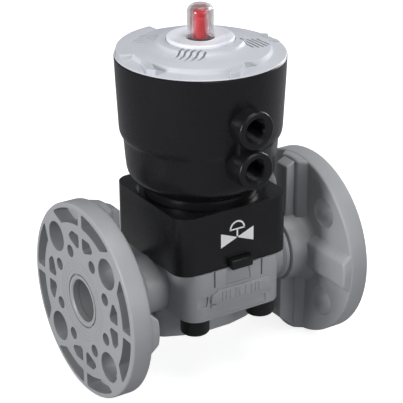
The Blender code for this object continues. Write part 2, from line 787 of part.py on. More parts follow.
def ring_seal(name, radius, height, thickness, steps=40):
    """A round seal ring, centred on the stem axis."""
    ring = arc(radius, 0, 360 - 360 / steps, steps - 1)
    points = [(x, y, above(height)) for x, y in ring]
    return part(name, tube_mesh(points, thickness, 1, cyclic=True), rubber(name))


def seal_groove(radius, height, thickness, steps=40):
    """Cutter for a square groove that holds a ring seal."""
    high = above(height) + thickness + GAP
    low = above(height) - thickness - GAP
    inner = radius - thickness - GAP
    outer = radius + thickness + GAP
    return turned_mesh([(outer, high), (outer, low), (inner, low), (inner, high)], steps)


def piston():
    """The piston: a crown with a seal groove and a skirt round the springs."""
    top = above(PISTON_TOP_Z)
    low = above(PISTON_TOP_Z - PISTON_HEIGHT)
    outer = CHAMBER_R - PISTON_CLEARANCE
    bore = STEM_END_R + GAP
    web = low + PISTON_WEB
    groove_top, groove_low = (top - depth for depth in PISTON_GROOVE)
    groove_r = outer - PISTON_GROOVE_DEPTH
    skirt = low - PISTON_SKIRT
    profile = [(outer - 1 * MM, top), (outer, top - 1 * MM), (outer, groove_top),
               (groove_r, groove_top), (groove_r, groove_low),
               (outer, groove_low), (outer, skirt), (outer - 3 * MM, skirt),
               (outer - 3 * MM, low), (bore, low), (bore, web), (13 * MM, web),
               (17 * MM, top)]
    return part("piston", turned_mesh(profile, 32), material("piston", PALE_GREY, 0.5))


def piston_seal():
    """Rubber ring in the piston's groove."""
    outer = CHAMBER_R - 0.15 * MM
    top = above(PISTON_TOP_Z) - PISTON_GROOVE[0] - GAP
    low = above(PISTON_TOP_Z) - PISTON_GROOVE[1] + GAP
    inner = CHAMBER_R - PISTON_CLEARANCE - PISTON_GROOVE_DEPTH + GAP
    profile = [(outer, top), (outer, low), (inner, low), (inner, top)]
    return part("piston_seal", turned_mesh(profile, 32), rubber("piston_seal"))


def piston_nut():
    """Nut and washer that clamp the piston on the stem."""
    low = above(PISTON_TOP_Z - PISTON_HEIGHT) + PISTON_WEB + GAP
    top = low + PISTON_WASHER_THICKNESS
    inner = STEM_END_R + THREAD_GAP
    washer = [(PISTON_WASHER_R, top), (PISTON_WASHER_R, low), (inner, low), (inner, top)]
    part("piston_washer", turned_mesh(washer, 24), steel("piston_washer"))
    nut_low_face = top + GAP
    nut_top_face = nut_low_face + PISTON_NUT_HEIGHT
    nut = part("piston_nut", cylinder_mesh(PISTON_NUT_R, nut_low_face, nut_top_face, 6),
               steel("piston_nut"))
    cut(nut, cylinder_mesh(STEM_END_R + GAP, nut_low_face - PAST, nut_top_face + PAST, 20))


def spring(name, radius, wire, turns):
    """A coil spring between its seat plate and the piston."""
    low = above(HOUSING_FLOOR_Z) + SPRING_SEAT + wire + 2 * GAP
    high = above(PISTON_TOP_Z - PISTON_HEIGHT) - wire - GAP
    per_turn = 12
    count = turns * per_turn
    points = []
    for i in range(count + 1):
        turn = 2 * math.pi * i / per_turn
        points.append((radius * math.cos(turn), radius * math.sin(turn), low + (high - low) * i / count))
    return part(name, tube_mesh(points, wire, 1), material(name, SPRING_STEEL, 0.35, 1.0))


def spring_seat():
    """Steel plate under the springs."""
    low = above(HOUSING_FLOOR_Z) + GAP
    high = low + SPRING_SEAT
    inner = SPRING_R[1] - 6.5 * MM
    outer = SPRING_R[0] + 4 * MM
    profile = [(outer, high), (outer, low), (inner, low), (inner, high)]
    return part("spring_seat", turned_mesh(profile, 24), steel("spring_seat"))


def indicator_pin():
    """Red pin on the stem's upper end, with a groove near its top."""
    low = above(LID_CENTRE_Z) + GAP
    top = above(INDICATOR_TOP_Z)
    profile = [(0, top), (INDICATOR_R - 0.5 * MM, top), (INDICATOR_R, top - 0.5 * MM),
               (INDICATOR_R, top - 2.2 * MM), (INDICATOR_R - 0.5 * MM, top - 2.5 * MM),
               (INDICATOR_R - 0.5 * MM, top - 3.4 * MM), (INDICATOR_R, top - 3.7 * MM),
               (INDICATOR_R, low), (0, low)]
    mesh = turned_mesh(profile, 20)
    return part("indicator_pin", mesh, material("indicator_pin", RED_PLASTIC, 0.35))


# ---------------------------------------------------------------- bonnet and actuator

def bonnet():
    """The black square bonnet between the body and the actuator."""
    outline = rounded_rectangle(BONNET_HALF, BONNET_HALF, BONNET_CORNER_R)
    block = outline_mesh(outline, above(BODY_TOP_Z) + GAP / 2, above(BONNET_TOP_Z))
    obj = part("bonnet", block, black_plastic("bonnet"))
    bevel(obj, 1.8 * MM, 2)
    seat = above(BODY_TOP_Z) + DIAPHRAGM_THICKNESS / 2 + GAP / 2
    room_top = above(BONNET_ROOM_TOP_Z)
    cut(obj, cylinder_mesh(DIAPHRAGM_R + GAP, above(BODY_TOP_Z) - PAST, seat, 40))
    cut(obj, cylinder_mesh(BONNET_ROOM_R, above(BODY_TOP_Z) - PAST, room_top, 40))
    cut(obj, cylinder_mesh(NECK_HOLE_R, room_top - PAST, above(BONNET_TOP_Z) + PAST, 40))
    cut(obj, bolt_cut(BOLT_R + GAP, BODY_TOP_Z - PAST, nut_low() + NUT_HEIGHT + 2 * PAST))
    cut(obj, bolt_cut(NUT_R + GAP, nut_low() - GAP, nut_low() + NUT_HEIGHT + GAP))
    cut(obj, seal_groove(NECK_HOLE_R, RETAINING_RING_Z, RETAINING_RING_WIRE_R, 32))
    clip_low = above(BODY_TOP_Z) - CLIP_DROP
    cut(obj, box_mesh((CLIP_X[0] - GAP, -BONNET_HALF - PAST, clip_low),
                      (CLIP_X[1] + GAP, -BONNET_HALF + CLIP_SEAT, clip_low + CLIP_HEIGHT + GAP)))
    return obj


def lock_clip():
    """Small black clip on the bonnet's lower front edge."""
    low = above(BODY_TOP_Z) - CLIP_DROP
    mesh = box_mesh((CLIP_X[0], -BONNET_HALF - CLIP_REACH, low),
                    (CLIP_X[1], -BONNET_HALF + CLIP_SEAT - GAP, low + CLIP_HEIGHT))
    obj = part("lock_clip", mesh, black_plastic("lock_clip"))
    bevel(obj, 0.7 * MM, 2)
    cut(obj, box_mesh((CLIP_X[0] - PAST, -BODY_HALF_Y - GAP, low - PAST),
                      (CLIP_X[1] + PAST, -BONNET_HALF + CLIP_SEAT + PAST, above(BODY_TOP_Z) + GAP / 2)))
    return obj


def housing_profile():
    """Section of the actuator housing, from its rim down and back up its bore."""
    top = above(HOUSING_TOP_Z)
    step = above(HOUSING_STEP_Z)
    floor = above(HOUSING_FLOOR_Z)
    foot = above(NECK_FOOT_Z)
    shoulder = above(BONNET_TOP_Z)
    neck = NECK_HOLE_R - GAP
    bore = NECK_BORE_R
    return [
        (HOUSING_R, top), (HOUSING_R - 1.8 * MM, step + 6 * MM),
        (HOUSING_R - 2.6 * MM, step + 2 * MM), (HOUSING_R - 3.4 * MM, step + 0.4 * MM),
        (HOUSING_LOW_R, step - 0.6 * MM), (HOUSING_LOW_R - 2 * MM, floor + 0.6 * MM),
        (HOUSING_LOW_R - 3.6 * MM, floor - 2.6 * MM), (HOUSING_LOW_R - 6.5 * MM, floor - 5.2 * MM),
        (neck, shoulder + 3.5 * MM), (neck, foot), (bore, foot), (bore, floor),
        (CHAMBER_R, floor), (CHAMBER_R, top),
    ]


def port_boss(height):
    """One air port's boss, lying along -Y."""
    depth = PORT_FACE_Y - CHAMBER_R - LAP
    edge = 1.2 * MM
    profile = [(0, depth), (PORT_BOSS_R - edge, depth), (PORT_BOSS_R - 0.3 * edge, depth - 0.3 * edge),
               (PORT_BOSS_R, depth - edge), (PORT_BOSS_R, 0), (0, 0)]
    mesh = turned_mesh(profile, 24)
    mesh.transform(Matrix.Rotation(math.radians(90), 4, "X"))
    return moved(mesh, y=-CHAMBER_R - LAP, z=above(height))


def port_hole(height, inner_y):
    """Cutter for an air port's bore, from its face in to a depth."""
    mesh = cylinder_mesh(PORT_HOLE_R, inner_y, PORT_FACE_Y + PAST, 20)
    mesh.transform(Matrix.Rotation(math.radians(90), 4, "X"))
    return moved(mesh, z=above(height))


def air_way():
    """Cutter for the drilled way from the upper port to the room above the piston."""
    return moved(cylinder_mesh(AIR_WAY_R, above(PORT_Z[1]), above(HOUSING_TOP_Z) + PAST, 12), y=AIR_WAY_Y)


def actuator_housing():
    """The black cylinder that holds the piston, with its neck and two air ports."""
    obj = part("actuator_housing", turned_mesh(housing_profile(), 48), black_plastic("actuator_housing"))
    for height in PORT_Z:
        join(obj, port_boss(height))
    cut(obj, port_hole(PORT_Z[0], CHAMBER_R - 2 * MM))
    cut(obj, port_hole(PORT_Z[1], CHAMBER_R + 2 * MM))
    cut(obj, air_way())
    rim = above(HOUSING_TOP_Z)
    half = AIR_WAY_R - GAP
    cut(obj, box_mesh((-half, AIR_WAY_Y, rim - 3 * MM), (half, -CHAMBER_R + PAST, rim + PAST)))
    cut(obj, seal_groove(NECK_HOLE_R, RETAINING_RING_Z, RETAINING_RING_WIRE_R, 32))
    flange_top = above(NECK_FOOT_Z) + BUSH_FLANGE_HEIGHT + 2 * GAP
    cut(obj, cylinder_mesh(BUSH_FLANGE_R + GAP, above(NECK_FOOT_Z) - PAST, flange_top, 32))
    cut(obj, seal_groove(STEM_R + BUSH_WALL, STEM_SEAL_Z, STEM_SEAL_WIRE_R, 32))
    return obj


def stem_bush():
    """Guide bush for the stem in the housing's neck."""
    low = above(NECK_FOOT_Z) + GAP
    top = low + BUSH_HEIGHT
    inner = STEM_R + STEM_CLEARANCE
    sleeve = STEM_R + BUSH_WALL
    flange_top = low + BUSH_FLANGE_HEIGHT
    profile = [(sleeve, top), (sleeve, flange_top), (BUSH_FLANGE_R, flange_top),
               (BUSH_FLANGE_R, low), (inner, low), (inner, top)]
    return part("stem_bush", turned_mesh(profile, 20), material("stem_bush", BRASS, 0.3, 1.0))


def retaining_ring():
    """Ring that locks the housing's neck in the bonnet."""
    half = RETAINING_RING_WIRE_R
    outer = NECK_HOLE_R + half
    inner = NECK_HOLE_R - half
    high = above(RETAINING_RING_Z) + half
    low = above(RETAINING_RING_Z) - half
    profile = [(outer, high), (outer, low), (inner, low), (inner, high)]
    return part("retaining_ring", turned_mesh(profile, 32), steel("retaining_ring"))


# ---------------------------------------------------------------- lid and indicator

def lid_profile():
    """Section of the lid: a plug in the housing, a thin rim, a plateau and a raised centre."""
    rim = above(HOUSING_TOP_Z) + GAP
    plateau = above(LID_PLATEAU_Z)
    centre = above(LID_CENTRE_Z)
    plug = above(LID_PLUG_Z)
    plug_r = CHAMBER_R - GAP
    bore = INDICATOR_R + INDICATOR_CLEARANCE
    return [
        (DISC_R + 4 * MM, centre), (DISC_R + 7 * MM, centre - 1.6 * MM),
        (LID_PLATEAU_R - 2 * MM, plateau + 0.3 * MM), (LID_PLATEAU_R, plateau - 0.4 * MM),
        (LID_PLATEAU_R + LID_RIM, rim + 1.6 * MM), (HOUSING_R - LID_RIM, rim + 1.1 * MM),
        (HOUSING_R, rim + 0.5 * MM), (HOUSING_R, rim), (plug_r, rim),
        (plug_r, plug), (plug_r - LID_PLUG_WALL, plug), (plug_r - LID_PLUG_WALL, rim + 0.5 * MM),
        (LID_HUB_R, rim + 2 * MM), (LID_HUB_R, plug + 4 * MM), (bore, plug + 4 * MM),
        (bore, centre - DISC_SINK), (DISC_R + GAP, centre - DISC_SINK),
        (DISC_R + GAP, centre),
    ]


def lid_ridge():
    """One of the ridges that run out from the plateau to the lid's rim."""
    inner = LID_PLATEAU_R - 3 * MM
    outer = HOUSING_R - LID_RIM
    points = [(inner, 2.2 * MM), (inner, -3.0 * MM), (outer - 1 * MM, -7.5 * MM),
              (outer - 0.5 * MM, -2.5 * MM)]
    rim = above(HOUSING_TOP_Z) + GAP
    return outline_mesh(points, rim + 0.4 * MM, above(LID_PLATEAU_Z) - 0.6 * MM)


def lid():
    """The pale lid that closes the housing."""
    obj = part("lid", turned_mesh(lid_profile(), 48), material("lid", PALE_GREY, 0.42))
    ridge_places = [turn @ Matrix.Rotation(math.radians(RIDGE_TURN), 4, "Z") for turn in QUARTER_TURNS]
    join(obj, repeated(lid_ridge(), ridge_places))
    notch = [(0.92 * LID_PLATEAU_R, 0), (1.1 * LID_PLATEAU_R, 0), (1.1 * LID_PLATEAU_R, 16 * MM),
             (0.99 * LID_PLATEAU_R, 16 * MM)]
    floor = above(HOUSING_TOP_Z) + GAP + 1.6 * MM
    cut(obj, repeated(outline_mesh(notch, floor, above(LID_CENTRE_Z)), ridge_places))
    cut(obj, box_mesh((-AIR_WAY_R, -CHAMBER_R - PAST, above(LID_PLUG_Z) - PAST),
                      (AIR_WAY_R, -CHAMBER_R + 5 * MM, above(HOUSING_TOP_Z) - 0.5 * MM)))
    return obj


def centre_disc():
    """The white disc in the middle of the lid, slightly dished, with the dome's seat."""
    top = above(DISC_TOP_Z)
    low = above(LID_CENTRE_Z) - DISC_SINK + GAP
    bore = INDICATOR_R + INDICATOR_CLEARANCE
    seat = DOME_R + GAP
    seat_floor = top - DOME_SEAT_DEPTH
    profile = [(DISC_R - 0.6 * MM, top), (DISC_R, top - 0.6 * MM), (DISC_R, low), (bore, low),
               (bore, seat_floor), (seat, seat_floor), (seat, top - 0.9 * MM),
               (DISC_R - 4 * MM, top - 0.7 * MM), (DISC_R - 2 * MM, top)]
    return part("centre_disc", turned_mesh(profile, 32), material("centre_disc", OFF_WHITE, 0.4))


def dome_seat():
    """Dark ring that the dome stands on."""
    low = above(DISC_TOP_Z) - DOME_SEAT_DEPTH + GAP
    high = low + DOME_SEAT_HEIGHT
    inner = INDICATOR_R + 0.6 * MM
    profile = [(DOME_R, high), (DOME_R, low), (inner, low), (inner, high)]
    return part("dome_seat", turned_mesh(profile, 20), rubber("dome_seat"))


def dome():
    """The clear cap over the indicator."""
    low = above(DISC_TOP_Z) - DOME_SEAT_DEPTH + DOME_SEAT_HEIGHT + 2 * GAP
    top = above(DOME_TOP_Z)
    wall = DOME_WALL
    inner = DOME_R - wall
    round_r = DOME_EDGE_R
    outer_arc = [(DOME_R - round_r + x, top - round_r + y) for x, y in arc(round_r, 90, 0, 3)]
    inner_r = round_r - wall
    inner_arc = [(inner - inner_r + x, top - wall - inner_r + y) for x, y in arc(inner_r, 0, 90, 2)]
    profile = [(0, top)] + outer_arc + [(DOME_R, low), (inner, low)] + inner_arc + [(0, top - wall)]
    mesh = turned_mesh(profile, 20)
    return part("dome", mesh, material("dome", CLEAR_PLASTIC, 0.05, alpha=0.3))


# ---------------------------------------------------------------- assembly

def build():
    """Make every piece, from the pipe up."""
    valve_body()
    flange("inlet_flange", -1)
    flange("outlet_flange", 1)
    keel_inserts()
    body_bolts()
    bolt_washers()
    bonnet_nuts()
    bolt_caps()
    diaphragm()
    compressor()
    stem_pin()
    stem()
    bonnet()
    lock_clip()
    actuator_housing()
    retaining_ring()
    stem_bush()
    ring_seal("stem_seal", STEM_R + STEM_SEAL_WIRE_R + 0.2 * MM, STEM_SEAL_Z, STEM_SEAL_WIRE_R, 24)
    spring_seat()
    spring("outer_spring", SPRING_R[0], SPRING_WIRE_R[0], SPRING_TURNS[0])
    spring("inner_spring", SPRING_R[1], SPRING_WIRE_R[1], SPRING_TURNS[1])
    piston()
    piston_seal()
    piston_nut()
    lid()
    centre_disc()
    dome_seat()
    dome()
    indicator_pin()


build()
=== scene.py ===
"""Looks for an air-operated diaphragm valve with flanged ends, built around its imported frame.

Every piece is in metres, in the frame's own axes: X along the pipe, -Y towards the air ports,
+Z up the stem. The frame's boxes give where things are; the dataclass fields below hold the
sizes that the frame doesn't say.
"""
import logging
import math
from dataclasses import dataclass
from enum import Enum
from typing import Callable, Iterable, Sequence

import bmesh
import bpy
from mathutils import Matrix, Vector


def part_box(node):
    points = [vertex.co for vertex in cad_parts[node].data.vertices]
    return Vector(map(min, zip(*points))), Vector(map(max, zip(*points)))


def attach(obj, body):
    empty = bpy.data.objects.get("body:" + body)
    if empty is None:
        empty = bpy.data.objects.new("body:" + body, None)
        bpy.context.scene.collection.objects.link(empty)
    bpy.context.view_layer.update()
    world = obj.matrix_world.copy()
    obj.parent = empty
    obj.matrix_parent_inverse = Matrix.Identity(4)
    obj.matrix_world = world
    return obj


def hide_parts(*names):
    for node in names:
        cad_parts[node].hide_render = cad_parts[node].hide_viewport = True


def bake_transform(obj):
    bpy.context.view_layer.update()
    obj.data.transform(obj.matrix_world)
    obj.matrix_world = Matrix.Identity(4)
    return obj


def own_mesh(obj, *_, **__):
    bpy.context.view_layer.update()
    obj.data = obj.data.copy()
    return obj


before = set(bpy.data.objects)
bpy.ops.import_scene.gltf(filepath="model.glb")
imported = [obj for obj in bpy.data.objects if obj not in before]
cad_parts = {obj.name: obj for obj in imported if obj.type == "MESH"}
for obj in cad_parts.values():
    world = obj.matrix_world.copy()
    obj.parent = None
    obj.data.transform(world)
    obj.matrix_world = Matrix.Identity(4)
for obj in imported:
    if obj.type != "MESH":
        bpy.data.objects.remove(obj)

LOG = logging.getLogger("valve")
MM = 0.001
Point = tuple[float, float]
Colour = tuple[float, float, float]

FIXED_BODY = "valve"
MOVING_BODY = "stem_group"
STEM_JOINT = "stem_slide"
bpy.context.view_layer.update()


# ------------------------------------------------------------------ shader expressions

class Wire:
    """A number that varies over a surface, usable in Python arithmetic."""

    def __init__(self, graph: "Graph", socket: bpy.types.NodeSocket) -> None:
        """Wrap an output socket of a graph."""
        self.graph = graph
        self.socket = socket

    def _math(self, operation: str, first: object, second: object | None = None) -> "Wire":
        """Add a Math node and return its result."""
        values = [first] if second is None else [first, second]
        inputs = dict(enumerate(values))
        return self.graph.node("ShaderNodeMath", {"operation": operation}, inputs)

    def __add__(self, other: object) -> "Wire":
        """self + other."""
        return self._math("ADD", self, other)

    def __radd__(self, other: object) -> "Wire":
        """other + self."""
        return self._math("ADD", other, self)

    def __sub__(self, other: object) -> "Wire":
        """self - other."""
        return self._math("SUBTRACT", self, other)

    def __rsub__(self, other: object) -> "Wire":
        """other - self."""
        return self._math("SUBTRACT", other, self)

    def __mul__(self, other: object) -> "Wire":
        """self * other."""
        return self._math("MULTIPLY", self, other)

    def __rmul__(self, other: object) -> "Wire":
        """other * self."""
        return self._math("MULTIPLY", other, self)

    def above(self, limit: float) -> "Wire":
        """1 where the value is over the limit, and 0 elsewhere."""
        return self._math("GREATER_THAN", self, limit)

    def clamped(self) -> "Wire":
        """The value held between 0 and 1."""
        return self.graph.node("ShaderNodeClamp", {}, {"Value": self})


class Graph:
    """A node tree that is written as expressions."""

    def __init__(self, tree: bpy.types.NodeTree) -> None:
        """Wrap the tree of a material or a world."""
        self.tree = tree

    def node(self, kind: str, settings: dict, inputs: dict, output: int | str = 0) -> Wire:
        """Add a node.

        Args:
            kind: The node's type name.
            settings: Its properties, which are set first.
            inputs: Values or wires for its sockets, by name or index.
            output: Which output the returned wire stands for.

        Returns:
            The wire of that output.
        """
        made = self.tree.nodes.new(kind)
        for key, value in settings.items():
            setattr(made, key, value)
        for key, value in inputs.items():
            self.feed(made.inputs[key], value)
        return Wire(self, made.outputs[output])

    def feed(self, socket: bpy.types.NodeSocket, value: object) -> None:
        """Link a wire to a socket, or set the socket's own value."""
        if isinstance(value, Wire):
            self.tree.links.new(value.socket, socket)
        elif isinstance(value, tuple) and len(value) == 3 and socket.type == "RGBA":
            socket.default_value = (*value, 1.0)
        else:
            socket.default_value = value

    def show(self, seen: Wire, lit: Wire, output: str) -> None:
        """Show the camera one shader, and give all other rays another.

        Args:
            seen: What the camera meets.
            lit: What reflections and bounced light meet.
            output: Name of the tree's output node.
        """
        camera = self.node("ShaderNodeLightPath", {}, {}, "Is Camera Ray")
        choice = self.node("ShaderNodeMixShader", {}, {0: camera, 1: lit, 2: seen})
        self.feed(self.tree.nodes[output].inputs["Surface"], choice)


class Surface(Graph):
    """A material's node tree with its Principled shader."""

    def __init__(self, name: str) -> None:
        """Start a material that has one Principled shader."""
        self.material = bpy.data.materials.new(name)
        self.material.use_nodes = True
        super().__init__(self.material.node_tree)
        self.shader = self.tree.nodes["Principled BSDF"]

    def place(self) -> Wire:
        """Position in the object's own metres."""
        return self.node("ShaderNodeTexCoord", {}, {}, "Object")

    def noise(self, size: float, detail: float = 3.0, stretch: Colour = (1, 1, 1)) -> Wire:
        """Noise with spots of a size in metres, 0 to 1; stretch lengthens them along an axis."""
        scaled = self.node("ShaderNodeVectorMath", {"operation": "MULTIPLY"},
                           {0: self.place(), 1: tuple(1.0 / s for s in stretch)})
        return self.node("ShaderNodeTexNoise", {},
                         {"Vector": scaled, "Scale": 1.0 / size, "Detail": detail, "Roughness": 0.55})

    def blend(self, share: Wire, first: Colour | Wire, second: Colour | Wire) -> Wire:
        """Mix two colours."""
        return self.node("ShaderNodeMix", {"data_type": "RGBA"},
                         {"Factor": share, 6: first, 7: second}, 2)

    def bump(self, height: Wire, depth: float, under: Wire | None = None) -> Wire:
        """Turn a height of 0 to 1 into a normal, on top of another one."""
        inputs = {"Height": height, "Distance": depth, "Strength": 1.0}
        if under is not None:
            inputs["Normal"] = under
        return self.node("ShaderNodeBump", {}, inputs)

    def facing_up(self) -> Wire:
        """1 on surfaces that look straight up, and 0 on walls and undersides."""
        split = self.node("ShaderNodeSeparateXYZ", {},
                          {0: self.node("ShaderNodeNewGeometry", {}, {}, "Normal")}, 2)
        return split.clamped()

    def finish(self, **sockets: object) -> bpy.types.Material:
        """Feed the shader's sockets, given with _ for spaces, and return the material."""
        for key, value in sockets.items():
            self.feed(self.shader.inputs[key.replace("_", " ")], value)
        return self.material


# ------------------------------------------------------------------ finishes

DUST = (0.62, 0.61, 0.58)


def shade(colour: Colour, factor: float) -> Colour:
    """A colour made lighter or darker."""
    return tuple(min(1.0, c * factor) for c in colour)


@dataclass(frozen=True)
class MouldedPlastic:
    """Injection-moulded plastic with a fine spark-eroded grain and handling marks."""

    colour: Colour
    roughness: float
    grain_size: float = 0.35 * MM
    grain_depth: float = 0.02 * MM
    mottling: float = 0.06
    dust: float = 0.05
    shine: float = 0.5

    def material(self, name: str) -> bpy.types.Material:
        """Build the node material under a name."""
        graph = Surface(name)
        cloud = graph.noise(18 * MM, 4)
        grain = graph.noise(self.grain_size, 2)
        scuffs = graph.noise(2.2 * MM, 5, (1, 1, 6))
        low = shade(self.colour, 1 - self.mottling)
        high = shade(self.colour, 1 + self.mottling)
        tone = graph.blend(cloud, low, high)
        scuffed = scuffs.above(0.66)
        worn = graph.blend(scuffed * 0.12, tone, shade(self.colour, 1.35))
        dusted = graph.blend(graph.facing_up() * cloud * self.dust, worn, DUST)
        rough = self.roughness + (cloud - 0.5) * 0.10 + (grain - 0.5) * 0.08 + scuffed * 0.05
        wavy = graph.bump(cloud, 0.08 * MM)
        fine = graph.bump(grain, self.grain_depth, wavy)
        return graph.finish(Base_Color=dusted, Roughness=rough.clamped(), Normal=fine,
                            Specular_IOR_Level=self.shine)


@dataclass(frozen=True)
class SealRubber:
    """Matt black rubber with a bloom of fine powder."""

    colour: Colour = (0.018, 0.018, 0.019)

    def material(self, name: str) -> bpy.types.Material:
        """Build the node material under a name."""
        graph = Surface(name)
        bloom = graph.noise(5 * MM, 5)
        grain = graph.noise(0.25 * MM, 2)
        tone = graph.blend(bloom * 0.5, self.colour, shade(self.colour, 3.0))
        return graph.finish(Base_Color=tone, Roughness=(0.62 + (bloom - 0.5) * 0.2).clamped(),
                            Normal=graph.bump(grain, 0.03 * MM))


class Lay(Enum):
    """Which way a metal's tool marks run: the axis along which they are long."""

    ALONG_X = (12.0, 1.0, 1.0)
    ALONG_Z = (1.0, 1.0, 12.0)
    ROUND_ABOUT = (6.0, 6.0, 0.6)


@dataclass(frozen=True)
class ToolMarkedMetal:
    """Turned or ground metal with fine parallel tool marks and a little tarnish."""

    colour: Colour
    roughness: float = 0.28
    lay: Lay = Lay.ROUND_ABOUT

    def material(self, name: str) -> bpy.types.Material:
        """Build the node material under a name."""
        graph = Surface(name)
        marks = graph.noise(0.3 * MM, 2, self.lay.value)
        tarnish = graph.noise(4 * MM, 4)
        tone = graph.blend(tarnish, shade(self.colour, 0.82), shade(self.colour, 1.08))
        rough = self.roughness + (marks - 0.5) * 0.18 + (tarnish - 0.5) * 0.12
        return graph.finish(Base_Color=tone, Roughness=rough.clamped(), Metallic=1.0,
                            Normal=graph.bump(marks, 0.01 * MM))


@dataclass(frozen=True)
class ClearPlastic:
    """Clear moulded plastic, faintly wavy, with hairline scratches in its roughness."""

    tint: Colour = (0.97, 0.975, 0.98)

    def material(self, name: str) -> bpy.types.Material:
        """Build the node material under a name."""
        graph = Surface(name)
        wave = graph.noise(6 * MM, 2)
        scratches = graph.noise(0.8 * MM, 4, (1, 1, 10))
        rough = 0.03 + scratches.above(0.62) * 0.05
        tone = graph.blend(wave, self.tint, shade(self.tint, 0.985))
        return graph.finish(Base_Color=tone, Roughness=rough, Transmission_Weight=1.0, IOR=1.49, Alpha=0.55,
                            Normal=graph.bump(wave, 0.02 * MM))


@dataclass(frozen=True)
class PrintedPaint:
    """Pad-printed paint with slightly uneven cover."""

    colour: Colour

    def material(self, name: str) -> bpy.types.Material:
        """Build the node material under a name."""
        graph = Surface(name)
        cover = graph.noise(0.5 * MM, 3)
        tone = graph.blend(cover.above(0.72) * 0.25, self.colour, shade(self.colour, 0.7))
        return graph.finish(Base_Color=tone, Roughness=(0.42 + cover * 0.1).clamped(),
                            Normal=graph.bump(cover, 0.01 * MM))


BLACK = MouldedPlastic((0.0075, 0.0075, 0.0085), 0.27, dust=0.006, shine=0.3)
GREY = MouldedPlastic((0.335, 0.34, 0.355), 0.42)
PALE = MouldedPlastic((0.56, 0.575, 0.615), 0.40)
WHITE = MouldedPlastic((0.80, 0.81, 0.87), 0.34, mottling=0.02)
RED = MouldedPlastic((0.62, 0.030, 0.042), 0.28, dust=0.0)
STEEL = ToolMarkedMetal((0.62, 0.62, 0.63))
SPRING_STEEL = ToolMarkedMetal((0.36, 0.36, 0.38), 0.35, Lay.ALONG_Z)
BRASS = ToolMarkedMetal((0.72, 0.52, 0.24), 0.3)
RUBBER = SealRubber()
CLEAR = ClearPlastic()
MARK_WHITE = PrintedPaint((0.86, 0.86, 0.86))


# ------------------------------------------------------------------ mesh making

def millimetres(points: Iterable[Point]) -> list[Point]:
    """Points given in millimetres, in metres."""
    return [(x * MM, y * MM) for x, y in points]


def near(base: Point, *offsets: Point) -> list[Point]:
    """Points at offsets in millimetres from a base in metres."""
    return [(base[0] + x * MM, base[1] + y * MM) for x, y in offsets]


def placed(place: Sequence[float], degrees: float, axis: str) -> Matrix:
    """A turn about an axis, then a move to a place."""
    return Matrix.Translation(place) @ Matrix.Rotation(math.radians(degrees), 4, axis)


def arc(radius: float, start: float, end: float, steps: int,
        centre: Point = (0.0, 0.0)) -> list[Point]:
    """Points on an arc, its angles in degrees."""
    turns = [math.radians(start + (end - start) * i / steps) for i in range(steps + 1)]
    return [(centre[0] + radius * math.cos(t), centre[1] + radius * math.sin(t)) for t in turns]


def rounded(points: Sequence[Point], radius: float, steps: int = 4) -> list[Point]:
    """Round every corner of a closed outline.

    Args:
        points: The sharp outline.
        radius: Radius of the corners; a short side makes its corners smaller.
        steps: Chords in each corner.

    Returns:
        The rounded outline.
    """
    result: list[Point] = []
    count = len(points)
    for i, corner in enumerate(points):
        here = Vector(corner)
        before = Vector(points[i - 1]) - here
        after = Vector(points[(i + 1) % count]) - here
        half = before.angle(after) / 2
        reach = min(radius / max(math.tan(half), 0.05), 0.49 * before.length, 0.49 * after.length)
        start = here + before.normalized() * reach
        end = here + after.normalized() * reach
        for j in range(steps + 1):
            t = j / steps
            result.append(tuple((1 - t) ** 2 * start + 2 * t * (1 - t) * here + t ** 2 * end))
    return result


def rounded_square(half_x: float, half_y: float, radius: float, steps: int = 12) -> list[Point]:
    """Outline of a rectangle with arcs for corners."""
    points: list[Point] = []
    for side_x, side_y, start in ((1, 1, 0), (-1, 1, 90), (-1, -1, 180), (1, -1, 270)):
        centre = (side_x * (half_x - radius), side_y * (half_y - radius))
        points += arc(radius, start, start + 90, steps, centre)
    return points


